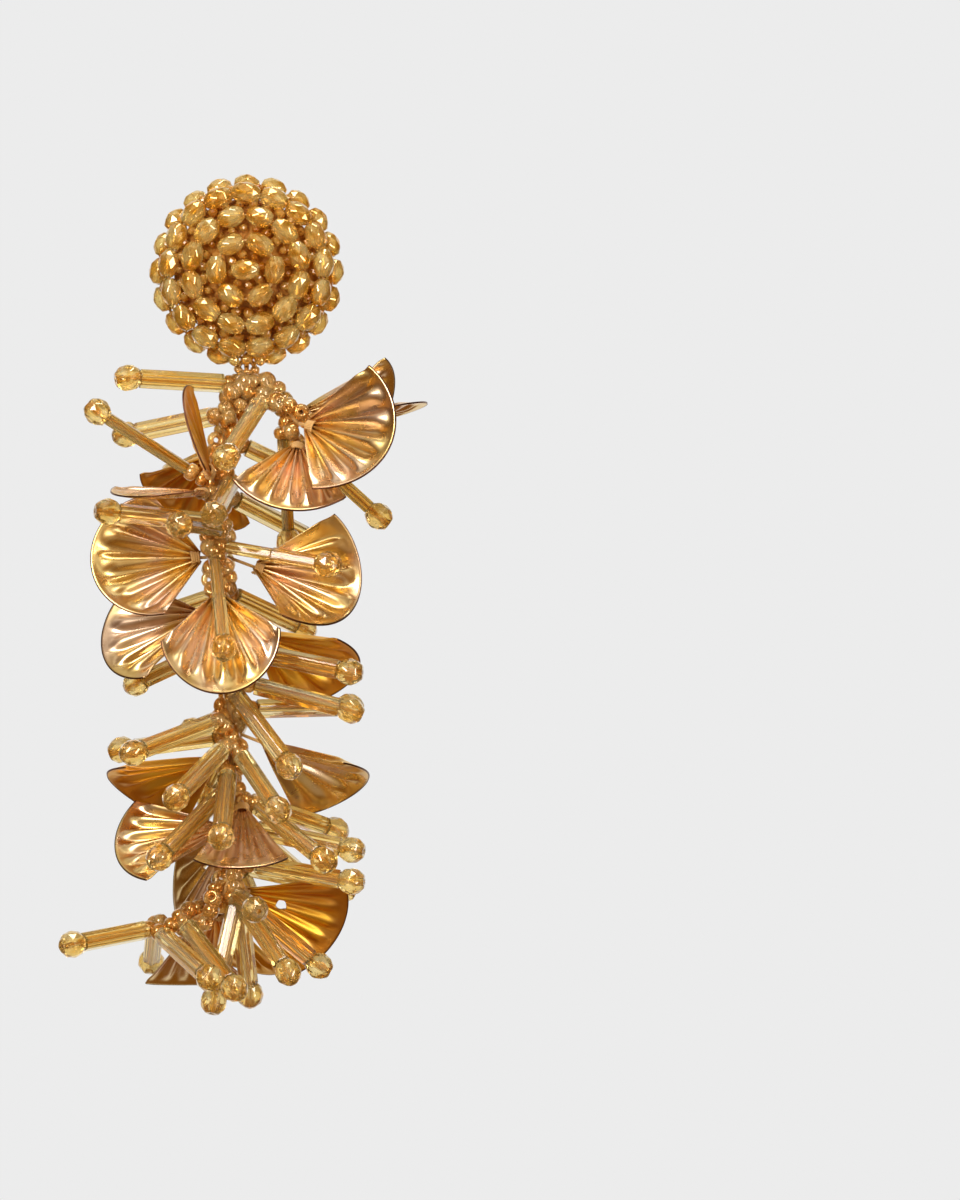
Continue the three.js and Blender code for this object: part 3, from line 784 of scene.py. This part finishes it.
def buildFans():
    look = fanLook
    tree = fanTree()
    names = sorted(name for name in nodes if name.startswith("fan_"))
    for number, name in enumerate(names):
        shape = fanShape(name)
        # fans that sit in shade get the darker foil: painted shade
        finish = finishes["shadedAmberFoil" if name in look["amber"] else "foil"]
        sheet = grown(name, tree, {
            "Reach": look["reach"], "Stem": shape["stem"], "Half spread": shape["half"],
            "Curl": shape["curl"], "Roundness": shape["roundness"], "Pleats": look["pleats"],
            "Pleat depth": look["shallow"].get(name, look["depth"]), "Neck": look["neck"],
            "Plain from": look["plainFrom"], "Plain to": look["plainTo"], "Crinkle": look["crinkle"],
            "Lip": look["lip"], "Seed": look["seedStep"] * number,
            "Across points": look["acrossPoints"], "Along points": look["alongPoints"],
            "Finish": finish}, extra=thicken)
        if name in look["sewn"]:
            sheet = sewnHole(sheet, shape["stem"] + look["holeAlong"] * look["reach"], finish)
        neckAt = shape["stem"] + look["neckFrom"]
        wire = threadRod(look["wireRadius"], neckAt + look["wireBeyond"])
        matrix = standing(shape["root"], shape["across"], shape["depth"], shape["axis"])
        meshes = (sheet, wire, wrapMesh(neckAt))
        finishPiece("pleatedFan_" + name[4:], meshes, matrix, "drop", name)


# Glass sprigs

sprigLook = {
    "flats": 6, "cornerRound": 0.22, "cornerSteps": 3, "bore": 0.3, "endRound": 0.1, "liner": 0.2,
    "linerBeyond": 1.5, "tip": {"length": 3.15, "radius": 1.68, "sides": 8, "bore": 0.34},
    "collarRadius": 1.1, "collarHalf": 0.75, "collarSides": 14, "secondCollar": 0.86,
    "secondFrom": 2.4, "bugleTurn": 0.6, "tipTurn": 1.1, "tipTilt": 0.25, "tiltStep": 2.3,
}
limbMarks = {
    # how a limb's parts are told by a node's corners, in millimetres apart from the first two
    "parallel": 0.99999, "leastLines": 4, "leastEdge": 4.2, "beadStep": 1.45, "stepSlack": 0.2,
    "beadRadius": 1.65, "radiusSlack": 0.1, "threadRadius": 0.5,
}


def parallelLines(name):
    # a bugle's long edges are parallel, which tells the limbs of one node apart
    families = []
    for start, end in longEdges(name, limbMarks["leastEdge"]):
        way = (end - start) / np.linalg.norm(end - start)
        for family in families:
            if abs(way @ family["way"]) > limbMarks["parallel"]:
                family["lines"].append((start, end))
                break
        else:
            families.append({"way": way, "lines": [(start, end)]})
    return [family for family in families if len(family["lines"]) >= limbMarks["leastLines"]]


def limbFrom(corners, family):
    marks, way = limbMarks, family["way"]
    ends = np.array(family["lines"]).reshape(-1, 3)
    centre = ends.mean(0) + circleShift(ends - ends.mean(0), way)
    along, off = alongAndOff(corners, centre, way)
    reach = (ends - centre) @ way
    rings = []
    for sign, far in ((1, reach.max()), (-1, reach.min())):
        level = np.abs(along - (far + sign * marks["beadStep"])) < marks["stepSlack"]
        around = np.abs(off - marks["beadRadius"]) < marks["radiusSlack"]
        rings.append((sign, corners[level & around]))
    # the facetted bead sits at the end whose ring has more corners
    sign, ring = max(rings, key=lambda found: len(found[1]))
    way = way * sign
    tip = ring.mean(0)
    bugles = {}
    for start, end in family["lines"]:
        low, high = sorted(((start - tip) @ way, (end - tip) @ way))
        size = np.linalg.norm((start - tip) - ((start - tip) @ way) * way)
        bugles.setdefault(round(high), []).append((low, high, size))
    tubes = []
    for _, group in sorted(bugles.items()):
        lows, highs, sizes = zip(*group)
        tubes.append((min(lows), max(highs), float(np.median(sizes))))
    along, off = alongAndOff(corners, tip, way)
    root = tip + way * along[off < marks["threadRadius"]].min()
    return {"way": way, "tip": tip, "root": root, "bugles": tubes}


def limbsOf(name):
    corners = cornersOf(name)
    limbs = [limbFrom(corners, family) for family in parallelLines(name)]
    if len(limbs) > 1:
        # the limbs of one knot all start at its middle
        flats = [np.eye(3) - np.outer(limb["way"], limb["way"]) for limb in limbs]
        side = sum(flat @ limb["tip"] for flat, limb in zip(flats, limbs))
        knot = np.linalg.solve(sum(flats), side)
        for limb in limbs:
            limb["root"] = knot
    return limbs


def bugleMesh(length, radius):
    # a six-sided tube with soft corners, bored from end to end
    look = sprigLook
    steps, half = look["cornerSteps"], pi / look["flats"]
    small = radius * look["cornerRound"]
    corners = []
    for side in range(look["flats"]):
        middle = 2 * half * side
        centre = Vector((cos(middle), sin(middle))) * (radius - small / cos(half))
        for step in range(steps):
            turn = middle + half * (2 * step / (steps - 1) - 1)
            corners.append(centre + small * Vector((cos(turn), sin(turn))))
    count = len(corners)
    inner = [Vector(spoke(i - 1, count)) * radius * look["bore"] for i in range(count)]
    soft = look["endRound"]
    narrow = [p * (1 - soft / radius) for p in corners]
    # each row: its corners, its height, its place along the map
    rows = [(narrow, 0.0, 0), (corners, soft, 0.02), (corners, length - soft, 0.98),
            (narrow, length, 1), (inner, length, 1), (inner, 0.0, 0)]
    points = [(p.x, p.y, height) for row, height, _ in rows for p in row]
    faces, values = [], []
    for row in range(len(rows)):
        after = (row + 1) % len(rows)
        here, there = rows[row][2], rows[after][2]
        for i in range(count):
            j = (i + 1) % count
            faces.append((row * count + i, row * count + j, after * count + j, after * count + i))
            left, right = i / count, (i + 1) / count
            values += [(left, here), (right, here), (right, there), (left, there)]
    return meshFrom("bugle", points, faces, finishes["bugle"], {"aroundAlong": values})


def buildSprigs():
    look = sprigLook
    tipMaster = facettedBead("tip", finishes["tipBead"], **look["tip"])
    collar = collarBead(look["collarRadius"], look["collarHalf"], look["collarSides"])
    names = sorted(name for name in nodes if "sprig" in name or "spray" in name or "pair" in name)
    total = 0
    for name in names:
        meshes = []
        for limb in limbsOf(name):
            total += 1
            length = float(np.linalg.norm(limb["tip"] - limb["root"]))
            matrix = upright(limb["root"], limb["way"])
            twist = turned(look["bugleTurn"] * total, "Z")
            for low, high, radius in limb["bugles"]:
                meshes.append(moved(bugleMesh(high - low, radius), matrix @ up(length + low) @ twist))
            tilt = turned(look["tipTilt"] * sin(total * look["tiltStep"]), "X")
            tipTurn = turned(look["tipTurn"] * total, "Z") @ tilt
            meshes.append(moved(tipMaster, matrix @ up(length) @ tipTurn))
            meshes.append(moved(threadRod(look["liner"], length + look["linerBeyond"]), matrix))
            near = length + limb["bugles"][0][0] - look["collarHalf"]
            meshes.append(moved(collar, matrix @ up(near)))
            if near > look["secondFrom"] * look["collarHalf"]:
                smaller = Matrix.Scale(look["secondCollar"], 4)
                meshes.append(moved(collar, matrix @ up(near - 2 * look["collarHalf"]) @ smaller))
        finishPiece("glassSprig_" + name, meshes, Matrix.Identity(4), "drop", name)


# The string of seed beads

stringLook = {
    # the run of the string and its side branch, in millimetres: across, depth, height
    "run": [(0, 1.6, -13.3), (-0.8, 1.6, -14.9), (-2.3, 1.6, -19), (-3, 1.6, -25), (-3.6, 1.6, -33),
            (-3, 1.6, -39.5), (-2.3, 1.6, -46.5), (-2, 1.6, -52), (-1.8, 1.6, -57), (-1.8, 1.6, -61),
            (-1.1, 1.6, -67), (-2, 1.6, -73), (-4.7, 1.6, -77), (-7, 1.6, -78), (-10.2, 1.6, -79)],
    "branch": [(-0.4, 1.6, -13.9), (2.6, 2.2, -14.6), (4.7, 2.8, -16.3), (6.4, 3, -18.6)],
    "coreRadius": 0.32, "seed": 4, "spacing": 1.25, "offset": 1.2, "spiralStep": 2.4, "growth": 0.14,
    "beadRadius": 1.12, "beadHalf": 0.86, "beadSides": 12,
    # across, depth, height and radius of the beads sewn over the hanging loop
    "neckBeads": [
        (1.0, 1.5, -11.85, 0.58), (-1.0, 1.5, -11.8, 0.58), (0.0, 1.6, -12.5, 0.82),
        (1.5, 2.1, -13.1, 1.0), (-1.3, 1.9, -13.2, 0.95), (0.2, 2.5, -13.4, 0.7),
        (-1.7, 2.9, -14.4, 1.2), (2.0, 3.2, -14.7, 1.1), (0.3, 3.3, -14.4, 0.9),
        (1.3, 3.6, -16.0, 1.0), (-0.6, 3.2, -16.0, 0.85), (-2.1, 3.0, -17.2, 0.95),
        (-3.9, 2.4, -17.4, 1.1), (3.4, 3.4, -15.2, 0.95)],
    "neckTurn": 1.7, "neckTilt": 0.9,
    "branchBead": {"length": 2.9, "radius": 1.62, "sides": 8, "bore": 0.3},
    "branchPlace": (4.35, -2.7, -15.95), "branchLean": 0.9,
}
# the ring under the button and the drop's own ring, which hang one in the other
hangLook = {"depth": 1.6, "eyeHeight": -10.6, "loopHeight": -11.7, "radius": 1.0, "wire": 0.3}


def hangingRing(name, height, alongX):
    centre = (0, -hangLook["depth"], height)
    return roundWire(name, hangLook["radius"], hangLook["wire"], centre, finishes["post"], alongX)


def runCurve(points):
    data = bpy.data.curves.new("run", "CURVE")
    data.dimensions = "3D"
    data.resolution_u = 8
    spline = data.splines.new("BEZIER")
    spline.bezier_points.add(len(points) - 1)
    for knob, (x, depth, z) in zip(spline.bezier_points, points):
        knob.co = (x, -depth, z)
        knob.handle_left_type = knob.handle_right_type = "AUTO"
    return newItem("run", data)


def coreOf(run):
    # the thread inside the beads, along the same run
    run.data.bevel_depth = stringLook["coreRadius"]
    run.data.bevel_resolution = 2
    run.data.use_fill_caps = True
    core = evaluated(run)
    core.materials.clear()
    core.materials.append(finishes["thread"])
    return core


def strungTree():
    # seed beads sewn in a spiral round a string, each one turned its own way
    tree, bench, given = newTree("seedBeadsOnString", objects=("Run", "Bead"), whole=("Seed",),
                                 floats=("Spacing", "Offset", "Spiral step", "Growth", "Phase"))
    run = bench.add("GeometryNodeObjectInfo", None, {0: given["Run"]})["Geometry"]
    spots = bench.add("GeometryNodeCurveToPoints", {"mode": "LENGTH"}, {
        "Curve": run, "Length": given["Spacing"]})
    angle = bench.add("GeometryNodeInputIndex")[0] * given["Spiral step"] + given["Phase"]
    spread = bench.combine(angle.cos() * given["Offset"], angle.sin() * given["Offset"])
    shift = bench.add("FunctionNodeRotateVector", None, {0: spread, 1: spots["Rotation"]})[0]
    size = bench.randomNumber(1.0 - given["Growth"], given["Growth"] + 1.0, given["Seed"])
    spiral = placed(bench, spots["Points"], {"Offset": shift})
    turn = bench.randomVector(0.0, 6.28, given["Seed"])
    endTree(bench, given, sewnOn(bench, spiral, given["Bead"], {"Rotation": turn, "Scale": size}))
    return tree


def buildString():
    look = stringLook
    tree = strungTree()
    bead = newItem("seed", collarBead(look["beadRadius"], look["beadHalf"], look["beadSides"]))
    meshes = []
    for points in (look["run"], look["branch"]):
        run = runCurve(points)
        for phase in (0.0, pi):
            meshes.append(grown("seeds", tree, {
                "Run": run, "Bead": bead, "Spacing": look["spacing"], "Offset": look["offset"],
                "Spiral step": look["spiralStep"], "Growth": look["growth"], "Phase": phase,
                "Seed": look["seed"] + int(phase), "Finish": finishes["seedBead"]}))
        meshes.append(coreOf(run))
        bpy.data.objects.remove(run)
    for number, (x, depth, z, radius) in enumerate(look["neckBeads"]):
        turn = turned(look["neckTurn"] * number, "Z") @ turned(look["neckTilt"] * number, "X")
        size = Matrix.Scale(radius / look["beadRadius"], 4)
        meshes.append(moved(bead.data, Matrix.Translation((x, -depth, z)) @ turn @ size))
    bpy.data.objects.remove(bead)
    branchBead = facettedBead("branchBead", finishes["tipBead"], **look["branchBead"])
    place = Matrix.Translation(look["branchPlace"]) @ turned(look["branchLean"], "Y")
    meshes.append(moved(branchBead, place))
    meshes.append(hangingRing("loop", hangLook["loopHeight"], False))
    finishPiece("seedBeadString", meshes, fromMillimetres, "drop", "drop_string")


# The beaded button

buttonLook = {
    "rings": {
        "bead_rosette": {"radius": 3.5, "depth": 6.4, "count": 6, "length": 3.3, "width": 1.32},
        "bead_ring_2": {"radius": 6.6, "depth": 5.6, "count": 12, "length": 3.3, "width": 1.34},
        "bead_ring_3": {"radius": 9.3, "depth": 4.2, "count": 17, "length": 3.3, "width": 1.36},
        "bead_ring_4": {"radius": 10.35, "depth": 1.6, "count": 20, "length": 3.0, "width": 1.42},
    },
    "openRing": "bead_ring_4",
    "sides": 8, "bore": 0.3, "tilt": 0.16, "grow": 0.05, "spin": 1.3, "thread": 0.16,
    "middleDepth": 6.8, "middleTurn": 0.2,
    # radius, depth and count of the small beads that fill the channel inside each ring
    "gaps": [(1.9, 5.9, 8), (5.1, 5.2, 22), (8.0, 4.3, 30), (10.0, 2.9, 36)],
    "gapBead": {"length": 1.1, "radius": 0.55, "sides": 6, "bore": 0.12},
    "gapTurn": 0.2, "gapTilt": 1.4, "gapGrow": 0.2, "seed": 2, "gapSeed": 12,
    # across, depth, height and radius of the beads that close the outer ring over the hanging eye
    "coverBeads": [(0.1, 3.2, -10.55, 0.72), (-1.5, 3.0, -10.7, 0.68), (1.6, 3.0, -10.65, 0.68)],
    "coverTurn": 0.9,
}


def ringTree():
    # beads on a round thread, long side along it, with the small lean of hand sewing
    tree, bench, given = newTree("beadRing", objects=("Bead",), whole=("Count", "Gap from", "Seed"),
                                 floats=("Radius", "Depth", "Turn", "Tilt", "Grow", "Spin"))
    order = bench.add("GeometryNodeInputIndex")[0]
    angle = order * (2 * pi) / given["Count"] + given["Turn"]
    late = bench.add("FunctionNodeCompare", {"data_type": "INT", "operation": "GREATER_EQUAL"}, {
        2: order, 3: given["Gap from"]})[0]
    kept = bench.add("GeometryNodeDeleteGeometry", None, {
        "Geometry": ringOfPoints(bench, given, angle), "Selection": late})[0]
    lean = bench.randomVector(-1.0, 1.0, given["Seed"])
    lean = bench.vector("SCALE", {0: lean, "Scale": given["Tilt"]})
    # the bead's long side is Z: it is turned about Y until it follows the ring
    turn = bench.combine(0.0, -1.0 * angle)
    for more in (lean, bench.combine(0.0, 0.0, order * given["Spin"])):
        settings = {"rotation_space": "LOCAL"}
        turn = bench.add("FunctionNodeRotateRotation", settings, {0: turn, 1: more})[0]
    size = bench.randomNumber(1.0 - given["Grow"], given["Grow"] + 1.0, given["Seed"])
    endTree(bench, given, sewnOn(bench, kept, given["Bead"], {"Rotation": turn, "Scale": size}))
    return tree


def ringOfBeads(tree, master, values, finish):
    bead = newItem("ringBead", master)
    ring = grown("ring", tree, {"Bead": bead, "Spin": buttonLook["spin"], "Finish": finish, **values})
    bpy.data.objects.remove(bead)
    return ring


def buildButton():
    look = buttonLook
    tree = ringTree()
    for number, (name, ring) in enumerate(look["rings"].items()):
        master = facettedBead("ringBead", finishes["buttonBead"], ring["length"], ring["width"],
                              look["sides"], look["bore"])
        # the outer ring leaves out the bead at the bottom, where the drop hangs
        missing = int(name == look["openRing"])
        turn = -pi / 2 + 2 * pi / ring["count"] * (1 if missing else 0.5)
        meshes = [ringOfBeads(tree, master, {
            "Count": ring["count"], "Radius": ring["radius"], "Depth": ring["depth"], "Turn": turn,
            "Gap from": ring["count"] - missing, "Tilt": look["tilt"], "Grow": look["grow"],
            "Seed": number + look["seed"]}, finishes["buttonBead"])]
        meshes.append(roundWire("ringThread", ring["radius"], look["thread"], (0, -ring["depth"], 0),
                                finishes["thread"]))
        if name == "bead_rosette":
            middle = Matrix.Translation((0, -look["middleDepth"], 0))
            meshes.append(moved(master, middle @ turned(pi / 2, "Y") @ turned(look["middleTurn"], "X")))
        if missing:
            for x, depth, z, radius in look["coverBeads"]:
                place = Matrix.Translation((x, -depth, z)) @ turned(look["coverTurn"] + x, "Y")
                meshes.append(moved(master, place @ Matrix.Scale(radius / ring["width"], 4)))
        channel, depth, count = look["gaps"][number]
        # the filler beads are real pieces, but their darker glass is painted shade in the channels
        # between the rings
        filler = facettedBead("gapBead", finishes["gapBead"], **look["gapBead"])
        meshes.append(ringOfBeads(tree, filler, {
            "Count": count, "Radius": channel, "Depth": depth, "Turn": look["gapTurn"],
            "Gap from": count, "Tilt": look["gapTilt"], "Grow": look["gapGrow"],
            "Seed": number + look["gapSeed"]}, finishes["gapBead"]))
        finishPiece("beads_" + name, meshes, fromMillimetres, "button", name)


# The felt behind the beads

backingLook = {
    "radius": 8.7, "edge": 2.0, "height": 4.5, "domeSteps": 10, "sides": 72, "pad": 0.6, "pocket": 4.3,
    "pocketLip": 0.05, "pocketRound": 0.1, "rim": 0.35, "rimRise": 0.4,
    "stitches": 44, "stitchWire": 0.14, "stitchDepth": 1.7, "stitchSides": 6, "wobble": 0.025,
    "seed": 5,
    # one stitch from the back of the felt, over its edge, to the front
    "stitchRun": [(-1.3, 0.75), (-0.6, 0.95), (0.05, 0.8), (0.28, 0.1), (0.2, -0.9), (-0.3, -1.35)],
    "stalk": {"radius": 0.3, "top": -7.0, "foot": -9.7, "sides": 12},
}


def stitchTree():
    # blanket stitches over the edge of the felt
    tree, bench, given = newTree("edgeStitches", objects=("Stitch",), whole=("Count", "Seed"),
                                 floats=("Radius", "Depth", "Wobble"))
    wobble = bench.randomNumber(given["Wobble"] * -1.0, given["Wobble"], given["Seed"])
    angle = bench.add("GeometryNodeInputIndex")[0] * (2 * pi) / given["Count"] + wobble
    ring = ringOfPoints(bench, given, angle)
    turn = {"Rotation": bench.combine(0.0, -1.0 * angle)}
    endTree(bench, given, sewnOn(bench, ring, given["Stitch"], turn))
    return tree


def stitchMesh():
    look = backingLook
    run = look["stitchRun"]
    frames = []
    for (x, y), before, after in zip(run, run[:1] + run, run[1:] + run[-1:]):
        way = Vector((after[0] - before[0], after[1] - before[1], 0)).normalized()
        frames.append((Vector((x, y, 0)), Vector((-way.y, way.x, 0)), Vector((0, 0, 1))))
    return tubeMesh("stitch", frames, look["stitchWire"], look["stitchSides"], finishes["thread"])


def feltMesh():
    # a dome that bulges to the front, with a pocket for the pad in its back
    look = backingLook
    pocket, radius, edge = look["pocket"], look["radius"], look["pad"] + look["edge"]
    profile = [(0, look["pad"]), (pocket, look["pad"]), (pocket, look["pocketLip"]),
               (pocket + look["pocketRound"], 0), (radius - look["rim"], 0), (radius, look["rimRise"])]
    steps = look["domeSteps"]
    for i in range(steps + 1):
        angle = pi / 2 * i / steps
        across = radius * cos(angle) if i < steps else 0
        profile.append((across, edge + (look["height"] - look["edge"]) * sin(angle)))
    felt = smoothed(turnedMesh("felt", profile, look["sides"], finishes["felt"]))
    return moved(felt, turned(pi / 2, "X"))


def stalkMesh():
    # the short wire between the felt and its eye
    look = backingLook["stalk"]
    profile = [(0, look["foot"]), (look["radius"], look["foot"]), (look["radius"], look["top"]),
               (0, look["top"])]
    stalk = smoothed(turnedMesh("stalk", profile, look["sides"], finishes["post"]))
    return moved(stalk, Matrix.Translation((0, -hangLook["depth"], 0)))


def buildBacking():
    look = backingLook
    stitch = newItem("stitch", stitchMesh())
    sewn = grown("stitches", stitchTree(), {
        "Stitch": stitch, "Count": look["stitches"], "Radius": look["radius"],
        "Depth": look["stitchDepth"], "Wobble": look["wobble"], "Seed": look["seed"],
        "Finish": finishes["thread"]})
    bpy.data.objects.remove(stitch)
    eye = hangingRing("eye", hangLook["eyeHeight"], True)
    meshes = (feltMesh(), sewn, eye, stalkMesh())
    finishPiece("feltBacking", meshes, fromMillimetres, "button", "button_backing")


# The pad against the lobe, and its post

postLook = {
    "padRadius": 4.0, "padThickness": 0.6, "radius": 0.45, "length": 11.0, "groove": 9.3, "sides": 40,
}


def buildPost():
    look = postLook
    pad, front = look["padRadius"], -look["padThickness"]
    radius, groove, end = look["radius"], look["groove"], look["length"]
    profile = [
        (0, front + 0.03), (pad - 0.15, front + 0.03), (pad, front + 0.15), (pad, -0.12),
        (pad - 0.12, 0), (radius + 0.5, 0), (radius + 0.1, 0.12), (radius, 0.5),
        (radius, groove - 0.35), (radius * 0.72, groove), (radius, groove + 0.35),
        (radius, end - 0.5), (radius * 0.75, end - 0.15), (radius * 0.4, end), (0, end)]
    metal = smoothed(turnedMesh("post", profile, look["sides"], finishes["post"]))
    matrix = fromMillimetres @ turned(-pi / 2, "X")
    finishPiece("padAndPost", [metal], matrix, "button", "ear_post")


# Stage, light and camera

stageLook = {
    "floorDrop": 0.6, "floorSize": 2.5, "pale": colour(236, 236, 236), "paperScale": 60.0,
    "paper": (colour(226, 226, 226), colour(232, 232, 232)), "paperRoughness": 0.9,
}


def buildStage():
    look, size = stageLook, stageLook["floorSize"]
    material, bench, shader = newMaterial("palePaper")
    fine = bench.noise(bench.objectPlace(), look["paperScale"])
    bench.fill(shader, {"Base Color": bench.mixColours(fine, *look["paper"]),
                        "Roughness": look["paperRoughness"]})
    height = cadBox[0].z - look["floorDrop"]
    corners = [(x * size, y * size, height) for x, y in ((-1, -1), (1, -1), (1, 1), (-1, 1))]
    floor = newItem("paleFloor", meshFrom("floor", corners, [(0, 1, 2, 3)], material))
    floor.visible_glossy = False


skyLook = {
    "stretch": (2.2, 2.2, 1.4), "bandScale": 1.3, "bandRange": (0.42, 0.58),
    "dim": colour(116, 84, 38), "bright": colour(252, 246, 232),
    "low": colour(124, 84, 36), "lowRange": (-0.8, 0.0),
    "sides": colour(98, 64, 24), "sideRange": (0.5, 0.95),
    "behind": colour(244, 240, 232), "behindRange": (0.55, 0.9),
    "facing": colour(148, 106, 56), "facingRange": (-0.97, -0.82),
    # what glass shows of the room behind it
    "seen": colour(250, 246, 238), "seenSides": colour(176, 114, 34), "seenSideRange": (0.55, 0.9),
    "seenLow": colour(150, 88, 18), "seenLowRange": (-0.9, -0.4),
}


def buildWorld():
    world = bpy.data.worlds.new("studio")
    bpy.context.scene.world = world
    world.use_nodes = True
    bench, look = Bench(world.node_tree), skyLook
    way = bench.add("ShaderNodeTexCoord")["Generated"]
    spot = bench.split(way)
    across, ahead, height = spot[0].abs(), spot[1], spot[2]
    bands = bench.noise(bench.vector("MULTIPLY", {0: way, 1: look["stretch"]}), look["bandScale"], 1.0)
    room = bench.mixColours(bands.smooth(*look["bandRange"]), look["dim"], look["bright"])
    room = bench.mixColours(height.smooth(*look["lowRange"]), look["low"], room)
    room = bench.mixColours(across.smooth(*look["sideRange"]), room, look["sides"])
    room = bench.mixColours(ahead.smooth(*look["behindRange"]), room, look["behind"])
    room = bench.mixColours(ahead.smooth(*look["facingRange"]), look["facing"], room)
    seen = bench.mixColours(across.smooth(*look["seenSideRange"]), look["seen"], look["seenSides"])
    seen = bench.mixColours(height.smooth(*look["seenLowRange"]), look["seenLow"], seen)
    rays = bench.add("ShaderNodeLightPath")
    lit = bench.mixColours(rays["Is Transmission Ray"], room, seen)
    bench.fill(world.node_tree.nodes["Background"], {
        "Color": bench.mixColours(rays["Is Camera Ray"], lit, stageLook["pale"]), "Strength": 1.0})


lightLook = {
    # places in metres, width and height in metres, watts
    "key": {"place": (-0.32, -0.55, 0.22), "size": (0.22, 0.3), "watts": 2.6,
            "tint": (1.0, 0.97, 0.93)},
    "fill": {"place": (0.42, -0.5, 0.02), "size": (0.12, 0.45), "watts": 1.4,
             "tint": (1.0, 0.95, 0.95)},
    "top": {"place": (0.05, -0.1, 0.55), "size": (0.35, 0.2), "watts": 1.8,
            "tint": (1.0, 0.98, 0.95)},
}
lampAim = (0, 0, -0.045)


def buildLights():
    for name, look in lightLook.items():
        data = bpy.data.lights.new(name, "AREA")
        data.shape = "RECTANGLE"
        data.size, data.size_y = look["size"]
        data.energy = look["watts"]
        data.color = look["tint"]
        lamp = newItem(name, data)
        lamp.location = look["place"]
        aim = Vector(lampAim) - Vector(look["place"])
        lamp.rotation_euler = aim.to_track_quat("-Z", "Y").to_euler()
        lamp.visible_camera = False


cameraLook = {
    "across": 0.02807, "height": -0.0395, "distance": 0.95, "viewHeight": 0.14458, "sensor": 36.0,
}


def buildCamera():
    look = cameraLook
    data = bpy.data.cameras.new("camera")
    data.sensor_width = look["sensor"]
    data.lens = look["sensor"] * look["distance"] / look["viewHeight"]
    data.clip_start = 0.01
    camera = newItem("camera", data)
    camera.location = (look["across"], -look["distance"], look["height"])
    camera.rotation_euler = (pi / 2, 0, 0)
    bpy.context.scene.camera = camera


stages = {
    "post": buildPost, "backing": buildBacking, "button": buildButton, "string": buildString,
    "sprigs": buildSprigs, "fans": buildFans, "floor": buildStage, "room": buildWorld,
    "lamps": buildLights, "camera": buildCamera,
}
for stage, build in stages.items():
    build()
    print(stage + ": built")
bpy.context.scene.view_settings.view_transform = "Standard"

bpy.context.view_layer.update()
